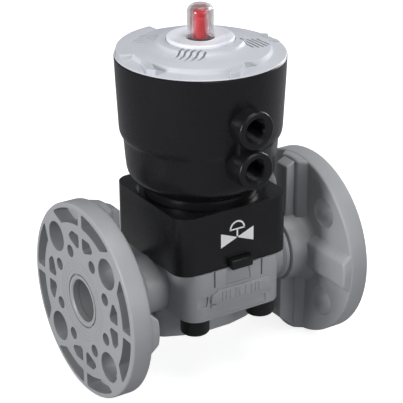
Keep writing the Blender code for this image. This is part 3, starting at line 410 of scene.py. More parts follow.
class Shape:
    """A mesh under construction."""

    def __init__(self) -> None:
        """Start empty."""
        self.edit = bmesh.new()

    def turned(self, profile: Sequence[Point], steps: int) -> "Shape":
        """Add a closed (radius, height) profile turned about Z. A radius of 0 makes a pole."""
        rings = []
        for radius, height in profile:
            if radius <= 1e-7:
                rings.append([self.edit.verts.new((0, 0, height))] * steps)
                continue
            turns = [2 * math.pi * i / steps for i in range(steps)]
            rings.append([self.edit.verts.new((radius * math.cos(t), radius * math.sin(t), height))
                          for t in turns])
        for ring, other in zip(rings, rings[1:] + rings[:1]):
            for i in range(steps):
                corners = [ring[i], ring[(i + 1) % steps], other[(i + 1) % steps], other[i]]
                unique = list(dict.fromkeys(corners))
                if len(unique) > 2:
                    self.edit.faces.new(unique)
        return self

    def drum(self, radius: float, low: float, high: float, steps: int, inner: float = 0.0) -> "Shape":
        """Add a drum between two heights about Z, or a ring if it has an inner radius."""
        return self.turned([(inner, low), (radius, low), (radius, high), (inner, high)], steps)

    def sector(self, profile: Sequence[Point], start: float, sweep: float, steps: int) -> "Shape":
        """Add a closed (radius, height) profile turned through part of a circle, in degrees."""
        rings = []
        for i in range(steps + 1):
            turn = math.radians(start + sweep * i / steps)
            c, s = math.cos(turn), math.sin(turn)
            rings.append([self.edit.verts.new((r * c, r * s, h)) for r, h in profile])
        for ring, other in zip(rings, rings[1:]):
            for j in range(len(profile)):
                self.edit.faces.new((ring[j - 1], ring[j], other[j], other[j - 1]))
        self.edit.faces.new(rings[0])
        self.edit.faces.new(rings[-1])
        return self

    def plate(self, outlines: Sequence[Sequence[Point]], low: float, high: float) -> "Shape":
        """Add a flat plate: the first outline is its edge and the others are holes through it."""
        edges = []
        for outline in outlines:
            ring = [self.edit.verts.new((x, y, high)) for x, y in outline]
            edges += [self.edit.edges.new((ring[i - 1], ring[i])) for i in range(len(ring))]
        made = bmesh.ops.triangle_fill(self.edit, edges=edges, use_beauty=True, use_dissolve=False)
        top = [g for g in made["geom"] if isinstance(g, bmesh.types.BMFace)]
        grown = bmesh.ops.extrude_face_region(self.edit, geom=top)
        moving = [g for g in grown["geom"] if isinstance(g, bmesh.types.BMVert)]
        bmesh.ops.translate(self.edit, verts=moving, vec=(0, 0, low - high))
        return self

    def box(self, low: Sequence[float], high: Sequence[float]) -> "Shape":
        """Add a box between two corners."""
        size = Vector(high) - Vector(low)
        middle = (Vector(high) + Vector(low)) / 2
        matrix = Matrix.Translation(middle) @ Matrix.Diagonal((*size, 1.0))
        bmesh.ops.create_cube(self.edit, size=1.0, matrix=matrix)
        return self

    def tube(self, points: Sequence[Sequence[float]], radius: float, sides: int) -> "Shape":
        """Add a round bar along a row of points, with flat ends."""
        path = [Vector(p) for p in points]
        upright, forward = Vector((0, 0, 1)), Vector((0, 1, 0))
        rings = []
        for i, point in enumerate(path):
            along = (path[min(i + 1, len(path) - 1)] - path[max(i - 1, 0)]).normalized()
            across = along.cross(upright if abs(along.z) < 0.9 else forward).normalized()
            other = along.cross(across)
            turns = [2 * math.pi * j / sides for j in range(sides)]
            rings.append([self.edit.verts.new(point + radius * (across * math.cos(t) + other * math.sin(t)))
                          for t in turns])
        for ring, following in zip(rings, rings[1:]):
            for j in range(sides):
                k = (j + 1) % sides
                self.edit.faces.new((ring[j], ring[k], following[k], following[j]))
        self.edit.faces.new(rings[0])
        self.edit.faces.new(rings[-1])
        return self

    def moved(self, matrix: Matrix) -> "Shape":
        """Transform all that is there."""
        bmesh.ops.transform(self.edit, matrix=matrix, verts=self.edit.verts)
        return self

    def copied(self, matrices: Iterable[Matrix]) -> "Shape":
        """Put a copy of all that is there at each matrix, in place of the original."""
        source = bpy.data.meshes.new("copy")
        self.edit.to_mesh(source)
        self.edit.clear()
        for matrix in matrices:
            one = source.copy()
            one.transform(matrix)
            self.edit.from_mesh(one)
            bpy.data.meshes.remove(one)
        bpy.data.meshes.remove(source)
        return self

    def softened(self, width: float, segments: int = 2, angle: float = 50,
                 keep: Callable[[Vector], bool] | None = None) -> "Shape":
        """Round the edges sharper than an angle.

        Args:
            width: Width of the rounding.
            segments: Its facets.
            angle: Edges flatter than this stay.
            keep: A test on an edge's middle; only edges that pass are rounded.

        Returns:
            This shape.
        """
        self.aligned()
        limit = math.radians(angle)
        edges = [e for e in self.edit.edges if len(e.link_faces) == 2 and e.calc_face_angle(0) > limit]
        if keep is not None:
            edges = [e for e in edges if keep((e.verts[0].co + e.verts[1].co) / 2)]
        bmesh.ops.bevel(self.edit, geom=edges, offset=width, segments=segments, profile=0.5,
                        affect="EDGES", clamp_overlap=True)
        return self

    def aligned(self) -> "Shape":
        """Weld doubled vertices and turn all faces outwards."""
        bmesh.ops.remove_doubles(self.edit, verts=self.edit.verts, dist=1e-6)
        bmesh.ops.recalc_face_normals(self.edit, faces=self.edit.faces)
        return self

    def mesh(self, name: str = "shape") -> bpy.types.Mesh:
        """Write the mesh out and end the construction."""
        self.aligned()
        made = bpy.data.meshes.new(name)
        self.edit.to_mesh(made)
        self.edit.free()
        return made


class Piece:
    """A finished object of the valve."""

    def __init__(self, name: str, mesh: bpy.types.Mesh) -> None:
        """Link a mesh into the scene."""
        self.object = bpy.data.objects.new(name, mesh)
        bpy.context.scene.collection.objects.link(self.object)

    def boolean(self, other: Shape, operation: str = "DIFFERENCE") -> "Piece":
        """Cut or join another shape at once."""
        tool = bpy.data.objects.new("tool", other.mesh())
        bpy.context.scene.collection.objects.link(tool)
        modifier = self.object.modifiers.new("boolean", "BOOLEAN")
        modifier.solver = "EXACT"
        modifier.operation = operation
        modifier.object = tool
        self.apply()
        bpy.data.objects.remove(tool, do_unlink=True)
        return self

    def cut(self, tools: Iterable[Shape]) -> "Piece":
        """Cut several shapes, one after the other."""
        for tool in tools:
            self.boolean(tool)
        return self

    def apply(self) -> "Piece":
        """Apply the object's modifiers."""
        bpy.context.view_layer.update()
        graph = bpy.context.evaluated_depsgraph_get()
        made = bpy.data.meshes.new_from_object(self.object.evaluated_get(graph))
        self.object.modifiers.clear()
        self.object.data = made
        return self

    def dressed(self, finish: object, slot: str, angle: float = 32) -> "Piece":
        """Give the piece a material and smooth shading."""
        self.object.data.materials.clear()
        self.object.data.materials.append(finish.material(self.object.name))
        smooth(self.object, angle)
        return self

    def riding(self, body: str = FIXED_BODY, replaces: Sequence[str] = ()) -> "Piece":
        """Ride on a body, in place of some nodes of the frame."""
        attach(self.object, body)
        if replaces:
            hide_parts(*replaces)
        LOG.info("%s: %d faces", self.object.name, len(self.object.data.polygons))
        return self


def smooth(obj: bpy.types.Object, angle: float) -> None:
    """Shade an object smooth, but for edges sharper than an angle."""
    mesh = obj.data
    mesh.polygons.foreach_set("use_smooth", [True] * len(mesh.polygons))
    mesh.set_sharp_from_angle(angle=math.radians(angle))


def dress_node(name: str, finish: object, slot: str, angle: float = 32) -> None:
    """Give a node that stays as it is a material and smooth shading."""
    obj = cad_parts[name]
    obj.data.materials.clear()
    obj.data.materials.append(finish.material(name))
    if obj.data.has_custom_normals:
        obj.data.attributes.remove(obj.data.attributes["custom_normal"])
    smooth(obj, angle)


def quarter_turns() -> list[Matrix]:
    """The four quarter turns about Z."""
    return [Matrix.Rotation(math.radians(90 * i), 4, "Z") for i in range(4)]


AXIS_Z = (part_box("inlet_flange")[1].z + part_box("inlet_flange")[0].z) / 2


def above(height: float) -> float:
    """Height in the frame of a point this far above the pipe axis."""
    return AXIS_Z + height


SEAT_RADIUS = 30.3 * MM
BOLT_HOLE = 3.3 * MM
BOLT_PLACES = [Matrix.Translation((x * 22.5 * MM, y * 28.4 * MM, 0)) for x in (-1, 1) for y in (-1, 1)]


def ring_groove() -> Shape:
    """Cutter for the retaining ring's groove, half in the bonnet and half in the housing."""
    return Shape().drum(34.8 * MM, above(43.2 * MM), above(46.8 * MM), 96, inner=31.2 * MM)


# ------------------------------------------------------------------ end flanges

@dataclass
class EndFlange:
    """A full-face flange with a pocketed front, drawn with its face at height 0 and its hub below."""

    name: str
    side: int
    face_place: float = 80.0 * MM
    radius: float = 57.5 * MM
    edge: float = 1.3 * MM
    bore: float = 12.5 * MM
    thickness: float = 12.4 * MM
    pocket_depth: float = 9.0 * MM
    web: float = 2.0 * MM
    hub_radius: float = 21.3 * MM
    hub_depth: float = 28.5 * MM
    socket_radius: float = 16.3 * MM
    pad_depth: float = 17.4 * MM
    pad_half: float = 12.5 * MM
    pad_taper: float = 0.62
    bolt_place: float = 29.2 * MM
    bolt_radius: float = 9.0 * MM
    seal_radius: float = 24.0 * MM
    pocket_rim: float = 54.6 * MM
    pocket_ring: float = 46.0 * MM
    grooves: tuple[float, ...] = (15.6 * MM, 18.2 * MM, 20.8 * MM, 23.2 * MM)

    def pocket_outlines(self) -> list[list[Point]]:
        """The front pockets' outlines with soft corners, on both sides of all four webs."""
        rim, ring = self.pocket_rim, self.pocket_ring
        start = 90 - math.degrees(math.asin(self.web / rim))
        finish = 90 - math.degrees(math.asin(self.web / ring))
        long_one = arc(rim, start, 53.5, 7) + arc(ring, 61.0, finish, 4)
        small = millimetres([(2.0, 40.3), (10.0, 40.3), (13.8, 36.6), (12.6, 34.4), (4.3, 31.4), (2.0, 32.8)])
        shapes = [rounded(shape, 1.3 * MM) for shape in (long_one, small)]
        shapes.append(arc(3.7 * MM, 0, 345, 23, (12.5 * MM, 26.5 * MM)))
        both = shapes + [[(-x, y) for x, y in reversed(shape)] for shape in shapes]
        return [self._turn(shape, 90 * i) for shape in both for i in range(4)]

    @staticmethod
    def _turn(points: Sequence[Point], degrees: float) -> list[Point]:
        """Turn an outline about the origin."""
        c, s = math.cos(math.radians(degrees)), math.sin(math.radians(degrees))
        return [(x * c - y * s, x * s + y * c) for x, y in points]

    def bolt_centres(self) -> list[Point]:
        """The middles of the four bolt holes."""
        return [self._turn([(self.bolt_place, self.bolt_place)], 90 * i)[0] for i in range(4)]

    def plate(self, pockets: list[list[Point]], low: float, high: float, free: float,
              steps: int) -> bpy.types.Mesh:
        """One of the two plates that the flange is made of.

        Args:
            pockets: Outlines that are cut besides the bolt holes and the bore.
            low: Height of its lower face.
            high: Height of its upper face.
            free: Height of the face that shows, whose edges are rounded.
            steps: Facets across the rim's rounding.

        Returns:
            The plate's mesh.
        """
        rim, inside = self.radius - 0.5 * MM, self.radius - 2 * MM
        outlines = [arc(self.radius, 0, 357.5, 143), arc(self.socket_radius, 0, 355, 71)] + pockets
        outlines += [arc(self.bolt_radius, 0, 352.5, 47, centre) for centre in self.bolt_centres()]
        shape = Shape().plate(outlines, low, high)
        shape.softened(self.edge, steps, 60, lambda p: abs(p.z - free) < 1e-5 and p.xy.length > rim)
        shape.softened(0.5 * MM, 2, 60, lambda p: abs(p.z - free) < 1e-5 and p.xy.length < inside)
        return shape.mesh()

    def face_ring(self) -> bpy.types.Mesh:
        """The sealing ring round the bore, with its narrow grooves."""
        width, depth, rise, back = 0.55 * MM, 1.5 * MM, 0.12 * MM, -4.3 * MM
        face: list[Point] = [(self.seal_radius, 0.02 * MM)]
        for groove in reversed(self.grooves):
            face += [(groove + width, rise), (groove + width * 0.5, rise - depth),
                     (groove - width * 0.5, rise - depth), (groove - width, rise)]
        mouth = near((self.bore, rise), (0.8, 0), (0, -0.8))
        return Shape().turned(face + mouth + [(self.bore, back), (self.seal_radius, back)], 128).mesh()

    def hub(self) -> bpy.types.Mesh:
        """The turned hub behind the plate, with the fillet at its foot."""
        r, low, socket = self.hub_radius, -self.hub_depth, self.socket_radius
        foot, inside = r + 4.5 * MM, 0.5 * MM - self.thickness
        fillet = near((foot, -self.thickness), (0, 0), (-1.6, -0.4), (-3.0, -1.5), (-4.0, -3.2), (-4.5, -5.5))
        lip = near((r, low), (0, 1.4), (-0.4, 0.4), (-1.4, 0))
        return Shape().turned([(foot, inside)] + fillet + lip + [(socket, low), (socket, inside)], 96).mesh()

    def pads(self) -> bpy.types.Mesh:
        """The four raised pads with leaning sides on the back."""
        half, rim = self.pad_half, self.radius - 0.3 * MM
        reach = math.degrees(math.asin(half / rim))
        inner = self.hub_radius - 2.5 * MM
        outline = [(inner, -half)] + arc(rim, -reach, reach, 8) + [(inner, half)]
        shape = Shape().plate([outline], -self.pad_depth, 0.4 * MM - self.thickness)
        for vertex in shape.edit.verts:
            if vertex.co.z < -self.thickness:
                vertex.co.y *= self.pad_taper
        shape.softened(1.4 * MM, 4, 20, lambda p: p.z < -self.thickness - 2 * MM)
        shape.copied(quarter_turns())
        return shape.mesh()

    def rib(self, half: float, depth: float, foot: float, end: float, turn: float) -> bpy.types.Mesh:
        """A rib that stands on a pad.

        Args:
            half: Half its width.
            depth: How far behind the face it reaches.
            foot: Radius at which it starts to slope down.
            end: Radius at which it meets the pad.
            turn: Its direction about the flange's axis, in degrees.

        Returns:
            The rib's mesh.
        """
        start = self.hub_radius - 2.5 * MM
        base = 0.6 * MM - self.pad_depth
        side = [(start, base), (start, -depth), (foot, -depth), (end, base)]
        shape = Shape().plate([side], -half, half)
        shape.moved(placed((0, 0, 0), 90, "X"))
        shape.softened(0.8 * MM, 3, 30)
        return shape.moved(placed((0, 0, 0), turn, "Z")).mesh()

    def lugs(self) -> bpy.types.Mesh:
        """The small bolt-retaining lugs in the two holes beside the ports."""
        shape = Shape()
        for (x, y), lean in zip(self.bolt_centres()[2:], (-12, 12)):
            lug = Shape().box((7.4 * MM, -1.2 * MM, -6.5 * MM), (9.6 * MM, 1.2 * MM, -0.4 * MM))
            lug.softened(0.35 * MM, 2, 60)
            lug.moved(placed((x, y, 0), lean - 90, "Z"))
            shape.edit.from_mesh(lug.mesh())
        return shape.mesh()

    def build(self) -> None:
        """Make all the flange's pieces and put them in place; only the inlet's holes have lugs."""
        low, deep = -self.thickness, -self.pocket_depth
        down = 0 if self.side > 0 else 180
        meshes = {
            "front": self.plate(self.pocket_outlines(), deep, 0.0, 0.0, 5),
            "back": self.plate([], low, deep, low, 4),
            "face_ring": self.face_ring(), "hub": self.hub(), "pads": self.pads(),
            "lower_rib": self.rib(8.0 * MM, self.hub_depth - 1.0 * MM, 46.0 * MM, 55.8 * MM, down),
            "upper_rib": self.rib(5.4 * MM, 23.0 * MM, 53.0 * MM, 55.8 * MM, down + 180),
        }
        if self.side < 0:
            meshes["lugs"] = self.lugs()
        node = f"{self.name}_flange"
        for part, mesh in meshes.items():
            mesh.transform(placed((self.side * self.face_place, 0, AXIS_Z), 90 * self.side, "Y"))
            Piece(f"{node}_{part}", mesh).dressed(GREY, node).riding(replaces=[node])


# ------------------------------------------------------------------ body

@dataclass
class ValveBody:
    """The weir body: block, necks, keel and passages, with its raised strip."""

    half_x: float = 32.5 * MM
    half_y: float = 38.4 * MM
    corner: float = 10.0 * MM
    bottom: float = -13.0 * MM
    top: float = 17.0 * MM
    neck_radius: float = 17.6 * MM
    keel_low: float = -33.0 * MM
    keel_half: float = 17.5 * MM
    bore: float = 12.5 * MM

    def block(self) -> Shape:
        """The block that the bolts go through."""
        outline = rounded_square(self.half_x, self.half_y, self.corner)
        shape = Shape().plate([outline], above(self.bottom), above(self.top) - 0.15 * MM)
        return shape.softened(0.9 * MM, 3, 50)

    def necks(self) -> Shape:
        """The necks and spigots as one turned bar along the pipe."""
        hub, tip, spigot, neck = 51.2 * MM, 75.4 * MM, 16.0 * MM, self.neck_radius
        half = [(spigot, tip), (spigot, hub)]
        half += near((neck, hub), (1.2, 0), (1.7, -0.6), (1.7, -2.4), (0.9, -3.4), (0, -4.4))
        mirrored = [(r, -h) for r, h in reversed(half)]
        shape = Shape().turned([(0, tip)] + half + mirrored + [(0, -tip)], 96)
        return shape.moved(placed((0, 0, AXIS_Z), 90, "Y"))

    def keel(self) -> Shape:
        """The boat-shaped foot."""
        reach, half, low = 35.0 * MM, self.keel_half, above(self.keel_low)
        side = [(0.25 * reach, half), (0.62 * reach, 0.84 * half), (reach, 0.5 * half),
                (reach, -0.5 * half), (0.62 * reach, -0.84 * half), (0.25 * reach, -half)]
        outline = rounded(side + [(-x, -y) for x, y in side], 6 * MM, 5)
        shape = Shape().plate([outline], low, above(self.bottom) + 2 * MM)
        return shape.softened(1.4 * MM, 3, 50, lambda p: p.z < low + 1e-4)

    def gussets(self) -> Shape:
        """The thin webs between the keel and the flanges."""
        end, low = 50.9 * MM, self.keel_low
        inside = 3 * MM - self.neck_radius
        side = [(end, inside), (end, low - 9 * MM), (46.0 * MM, low - 5 * MM), (27.0 * MM, low + 1 * MM),
                (27.0 * MM, inside)]
        shape = Shape().plate([side], -2.5 * MM, 2.5 * MM).softened(0.8 * MM, 2, 50)
        shape.moved(placed((0, 0, AXIS_Z), 90, "X"))
        return shape.copied([Matrix.Identity(4), Matrix.Rotation(math.pi, 4, "Z")])

    def front_plate(self, points: Sequence[Point], inner: float, outer: float, corner: float) -> Shape:
        """A rounded outline in X and Z that stands between two distances in front of the axis."""
        shape = Shape().plate([rounded(millimetres(points), corner)], inner, outer)
        return shape.moved(placed((0, 0, AXIS_Z), 90, "X"))

    def strip(self) -> Shape:
        """The raised strip on the front with its rounded left end."""
        points = [(-14.5, -3.2), (24.5, -3.2), (21.5, 5.0), (-13.0, 5.0), (-17.8, 2.6), (-18.6, -2.0)]
        shape = self.front_plate(points, self.half_y - 1 * MM, self.half_y + 1.3 * MM, 1.6 * MM)
        return shape.softened(0.4 * MM, 2, 50, lambda p: p.y < -self.half_y)

    def lip(self) -> Shape:
        """The thin lip along the strip's lower edge."""
        points = [(-18.0, -5.4), (19.0, -5.2), (24.0, -3.4), (-18.4, -3.6)]
        return self.front_plate(points, self.half_y - 1 * MM, self.half_y + 0.8 * MM, 0.6 * MM)

    def bars(self) -> bpy.types.Mesh:
        """Plain raised bars along the strip, in place of a marking."""
        shape = Shape()
        front = self.half_y + 1.25 * MM
        widths = (1.1, 1.1, 2.6, 1.1, 2.6, 2.6, 1.1, 1.1, 2.6)
        x = -11.0
        for width in widths:
            bar = Shape().box((x * MM, -front - 0.5 * MM, above(-2.0 * MM)),
                              ((x + width) * MM, -front + 0.3 * MM, above(3.9 * MM)))
            bar.softened(0.18 * MM, 1, 60)
            shape.edit.from_mesh(bar.mesh())
            x += width + 1.5
        return shape.mesh()

    def recesses(self) -> list[Shape]:
        """Cutters for the front: under and beside the strip, under the clip, and a groove on each side."""
        cuts = (([(-23.0, -12.0), (20.0, -12.0), (20.0, -6.0), (-20.0, -6.0)], 0.7, 1.5),
                ([(-28.0, -4.0), (-20.5, -4.0), (-19.5, 2.5), (-25.0, 2.5)], 0.9, 1.0),
                ([(-8.5, 6.5), (9.5, 6.5), (8.0, 17.5), (-7.0, 17.5)], 0.8, 1.0),
                ([(-16.2, 6.6), (-14.8, 6.6), (-14.8, 18.0), (-16.2, 18.0)], 1.0, 0.5),
                ([(16.0, 6.6), (17.4, 6.6), (17.4, 18.0), (16.0, 18.0)], 1.0, 0.5))
        return [self.front_plate(points, self.half_y - depth * MM, self.half_y + 1 * MM, corner * MM)
                for points, depth, corner in cuts]

    def passages(self) -> list[Shape]:
        """Cutters for the bores, the slanted ways up to the weir and the diaphragm's seat."""
        shapes = []
        lift = Vector((16 * MM, 0, 20 * MM))
        slope = (Matrix.Translation((-27 * MM, 0, above(-2 * MM)))
                 @ lift.to_track_quat("Z", "Y").to_matrix().to_4x4())
        for side in (0, 180):
            bore = Shape().drum(self.bore, -20 * MM, -81 * MM, 72).moved(placed((0, 0, AXIS_Z), 90, "Y"))
            slant = Shape().drum(11.7 * MM, 0, lift.length, 68).moved(slope)
            shapes += [shape.moved(placed((0, 0, 0), side, "Z")) for shape in (bore, slant)]
        top, wide, narrow = above(self.top), 27 * MM, 22 * MM
        angles = [math.radians(a) for a in range(0, 91, 9)]
        half = [(wide * math.sin(a), -11 * MM * math.cos(a)) for a in angles]
        bowl = Shape().turned(half + [(wide, 1 * MM), (0, 1 * MM)], 72)
        bowl.moved(Matrix.Translation((0, 0, top)) @ Matrix.Diagonal((1, narrow / wide, 1, 1)))
        return shapes + [bowl, Shape().drum(SEAT_RADIUS, top - 1.75 * MM, top + 1 * MM, 96)]

    def bolt_holes(self) -> Shape:
        """Cutter for the four bolt holes."""
        low, high = above(self.bottom) - 1 * MM, above(self.top) + 1 * MM
        return Shape().drum(BOLT_HOLE, low, high, 40).copied(BOLT_PLACES)

    def build(self) -> None:
        """Make the body and dress its inserts."""
        piece = Piece("body", self.block().mesh())
        for shape in (self.necks(), self.keel(), self.gussets(), self.strip(), self.lip()):
            piece.boolean(shape, "UNION")
        inserts = Shape().drum(4.3 * MM, 0, 11 * MM, 40)
        inserts.moved(Matrix.Translation((0, 0, above(self.keel_low) - 2 * MM)))
        inserts.copied([Matrix.Translation((x, 0, 0)) for x in (-12.5 * MM, 12.5 * MM)])
        piece.cut(self.recesses() + self.passages() + [self.bolt_holes(), inserts])
        piece.dressed(GREY, "valve_body", 28).riding(replaces=["valve_body"])
        Piece("body_bars", self.bars()).dressed(GREY, "valve_body").riding()
        for i in (1, 2):
            dress_node(f"keel_insert_{i}", BRASS, "keel_inserts")


@dataclass
class Fasteners:
    """The bolts, washers and nuts, and the push-on caps that cover the bolt heads."""

    radius: float = 8.5 * MM
    wall: float = 1.4 * MM

    def cap(self, number: int) -> None:
        """One cap, in place of its node."""
        low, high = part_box(f"bolt_cap_{number}")
        centre = (low + high) / 2
        r, top, foot = self.radius, high.z, low.z
        edge = arc(1.7 * MM, 0, -90, 6, (r - 1.7 * MM, foot + 1.7 * MM))
        inner = r - self.wall
        profile = [(inner, top), (r - 0.3 * MM, top), (r, top - 0.3 * MM)] + edge + [
            (0, foot), (0, foot + self.wall), (inner - 0.5 * MM, foot + self.wall)]
        shape = Shape().turned(profile, 72).moved(Matrix.Translation((centre.x, centre.y, 0)))
        piece = Piece(f"cap_{number}", shape.mesh()).dressed(BLACK, "bolt_caps")
        piece.riding(replaces=[f"bolt_cap_{number}"])

    def build(self) -> None:
        """Dress the metal pieces and make the caps."""
        for i in range(1, 5):
            dress_node(f"body_bolt_{i}", STEEL, "body_bolts")
            dress_node(f"bolt_washer_{i}", STEEL, "bolt_washers")
            dress_node(f"bonnet_nut_{i}", STEEL, "bonnet_nuts")
            self.cap(i)


# ------------------------------------------------------------------ bonnet and clip

@dataclass
class Bonnet:
    """The black square bonnet with its round opening, its clip and a plain printed symbol.

    Its underside seats the diaphragm's rim, and its pillars hold the nuts.
    """

    half: float = 37.5 * MM
    corner: float = 10.0 * MM
    top: float = 52.5 * MM
    low: float = 17.15 * MM
    opening: float = 33.0 * MM
    room: float = 22.0 * MM

    def block(self) -> Piece:
        """The block with its edges rounded and its rooms cut."""
        low, top, opening = above(self.low), above(self.top), self.opening
        shape = Shape().plate([rounded_square(self.half, self.half, self.corner, 16)], low, top)
        shape.softened(2.6 * MM, 5, 60, lambda p: p.z > top - 1e-4)
        shape.softened(0.5 * MM, 2, 60, lambda p: p.z < low + 1e-4)
        dish = near((0, top), (0, 20), (38.6, 20), (38.6, 1.0), (36.0, -1.4))
        dish += [(opening, top - 1.6 * MM), (opening, top - 14 * MM), (0, top - 14 * MM)]
        clip_room = Shape().box((-5.8 * MM, -self.half - 1 * MM, above(15 * MM)),
                                (9.3 * MM, -self.half + 2.5 * MM, above(22.8 * MM)))
        return Piece("bonnet_block", shape.mesh()).cut([
            Shape().turned(dish, 128),
            Shape().drum(self.room, above(0), above(60 * MM), 96),
            Shape().drum(SEAT_RADIUS, above(0), above(18.75 * MM), 96),
            Shape().drum(BOLT_HOLE, above(0), above(33 * MM), 40).copied(BOLT_PLACES),
            Shape().drum(5.9 * MM, above(25.7 * MM), above(31.3 * MM), 40).copied(BOLT_PLACES),
            ring_groove(),
            clip_room,
        ])

    def symbol(self) -> bpy.types.Mesh:
        """A plain valve symbol: two triangles point to point, a stem and a dome over them."""
        shape = Shape()
        z0 = 34.5
        flats = [
            [(-11.0, z0 + 4.4), (-11.0, z0 - 4.4), (-0.5, z0 - 0.25), (-0.5, z0 + 0.25)],
            [(11.0, z0 + 4.4), (0.5, z0 + 0.25), (0.5, z0 - 0.25), (11.0, z0 - 4.4)],
            [(-0.5, z0 + 0.6), (0.5, z0 + 0.6), (0.5, z0 + 5.0), (-0.5, z0 + 5.0)],
        ]
        cap = arc(5.2, 0, 180, 24, (0, z0 + 5.2)) + arc(4.2, 180, 0, 24, (0, z0 + 5.2))
        base = [(-5.2, z0 + 4.8), (5.2, z0 + 4.8), (5.2, z0 + 5.7), (-5.2, z0 + 5.7)]
        for outline in flats + [cap, base]:
            shape.plate([millimetres(outline)], 0, 0.12 * MM)
        return shape.moved(placed((0.4 * MM, -self.half + 0.02 * MM, AXIS_Z), 90, "X")).mesh()

    def clip(self) -> bpy.types.Mesh:
        """The clip on the lower front edge, with a thumb ledge along its top."""
        front = -self.half - 4.1 * MM
        shape = Shape().box((-5.3 * MM, front, above(16.2 * MM)),
                            (8.8 * MM, -self.half + 2.1 * MM, above(22.4 * MM)))
        shape.softened(0.7 * MM, 3, 60)
        piece = Piece("clip_tool", shape.mesh())
        gap = Shape().box((-6 * MM, -38.6 * MM, above(15 * MM)), (10 * MM, -30 * MM, above(17.2 * MM)))
        piece.boolean(gap)
        mesh = piece.object.data
        bpy.data.objects.remove(piece.object, do_unlink=True)
        return mesh

    def build(self) -> None:
        """Make the bonnet, its symbol and its clip."""
        self.block().dressed(BLACK, "bonnet").riding(replaces=["bonnet"])
        Piece("bonnet_symbol", self.symbol()).dressed(MARK_WHITE, "bonnet").riding()
        Piece("clip", self.clip()).dressed(BLACK, "lock_clip").riding(replaces=["lock_clip"])
        dress_node("retaining_ring", STEEL, "retaining_ring")


# ------------------------------------------------------------------ actuator

@dataclass
class Actuator:
    """The black cylinder with two threaded air ports."""

    radius: float = 48.6 * MM
    step: float = 86.0 * MM
    top: float = 133.4 * MM
    floor: float = 66.0 * MM
    chamber: float = 38.5 * MM
    ports: tuple[float, float] = (81.5 * MM, 105.0 * MM)
    port_face: float = 57.0 * MM
    boss: float = 11.0 * MM
    hole: float = 6.0 * MM

    def profile(self) -> list[Point]:
        """Section from the rim down the outside, round the neck and back up the bore."""
        r, top, step, floor = self.radius, above(self.top), above(self.step), above(self.floor)
        neck, foot = 32.7 * MM, above(40.5 * MM)
        wall = near((r, top), (-0.5, 0), (0, -0.6), (-0.5, -14))
        ledge = near((r, step), (-1.8, 6), (-2.1, 3.4), (-2.7, 1.8), (-3.6, 0.5))
        ledge += near((0, step), (44.7, -0.5), (44.3, -2.2))
        shoulder = near((0, floor), (43.4, 6), (42.9, 1.6), (42.4, -0.6), (41.4, -2.4), (39.8, -4.0),
                        (38.0, -5.3), (36.4, -7.2))
        end = [(neck, above(56.2 * MM)), (neck, foot + 0.6 * MM), (neck - 0.6 * MM, foot)]
        inside = [(7.5 * MM, foot), (7.5 * MM, floor), (self.chamber, floor), (self.chamber, top)]
        return wall + ledge + shoulder + end + inside

    def body(self) -> Piece:
        """The turned housing with its bosses joined and its holes cut."""
        piece = Piece("housing", Shape().turned(self.profile(), 160).mesh())
        depth, hole, face = self.port_face - self.chamber - 1 * MM, self.hole, self.port_face
        for height in self.ports:
            edge = arc(1.3 * MM, 90, 0, 5, (self.boss - 1.3 * MM, depth - 1.3 * MM))
            boss = Shape().turned([(0, depth)] + edge + [(self.boss, 0), (0, 0)], 72)
            piece.boolean(boss.moved(placed((0, -self.chamber - 1 * MM, above(height)), 90, "X")), "UNION")
        piece.boolean(self.port_bridge(), "UNION")
        for height, inner in zip(self.ports, (self.chamber - 2 * MM, self.chamber + 2 * MM)):
            mouth = near((hole, face), (0, -1.6), (1.7, 0.1), (1.7, 1))
            tool = Shape().turned([(0, inner), (hole, inner)] + mouth + [(0, face + 1 * MM)], 72)
            piece.boolean(tool.moved(placed((0, 0, above(height)), 90, "X")))
        bush = Shape().drum(11.3 * MM, above(39 * MM), above(44.6 * MM), 64)
        seal = Shape().drum(8.7 * MM, above(59.5 * MM), above(62.5 * MM), 64, inner=5.7 * MM)
        return piece.cut([bush, seal, ring_groove()])

    def port_bridge(self) -> Shape:
        """The low web that joins the two bosses."""
        low, high = self.ports
        shape = Shape().box((-7.0 * MM, -self.radius - 1.2 * MM, above(low)),
                            (7.0 * MM, -self.chamber - 1 * MM, above(high)))
        return shape.softened(1.0 * MM, 3, 60)

    def thread(self, height: float, inner: float) -> bpy.types.Mesh:
        """A helical thread ridge inside a port."""
        pitch, wire, per_turn = 1.34 * MM, 0.42 * MM, 36
        radius = self.hole - 0.08 * MM
        steps = per_turn * int((self.port_face - 2.2 * MM - inner) / pitch)
        points = []
        for i in range(steps + 1):
            turn = 2 * math.pi * i / per_turn
            points.append((radius * math.cos(turn), -(inner + 0.8 * MM + pitch * i / per_turn),
                           above(height) + radius * math.sin(turn)))
        return Shape().tube(points, wire, 6).mesh()

    def build(self) -> None:
        """Make the housing and its threads, and dress the bush and seal."""
        self.body().dressed(BLACK, "actuator_housing").riding(replaces=["actuator_housing"])
        for name, height, inner in (("lower", self.ports[0], self.chamber + 0.5 * MM),
                                    ("upper", self.ports[1], self.chamber + 2.5 * MM)):
            thread = Piece(f"{name}_port_thread", self.thread(height, inner))
            thread.dressed(BLACK, "actuator_housing").riding()
        dress_node("stem_bush", BRASS, "stem_bush")
        dress_node("stem_seal", RUBBER, "stem_seal")
        dress_node("spring_seat", STEEL, "spring_seat")


# ------------------------------------------------------------------ lid

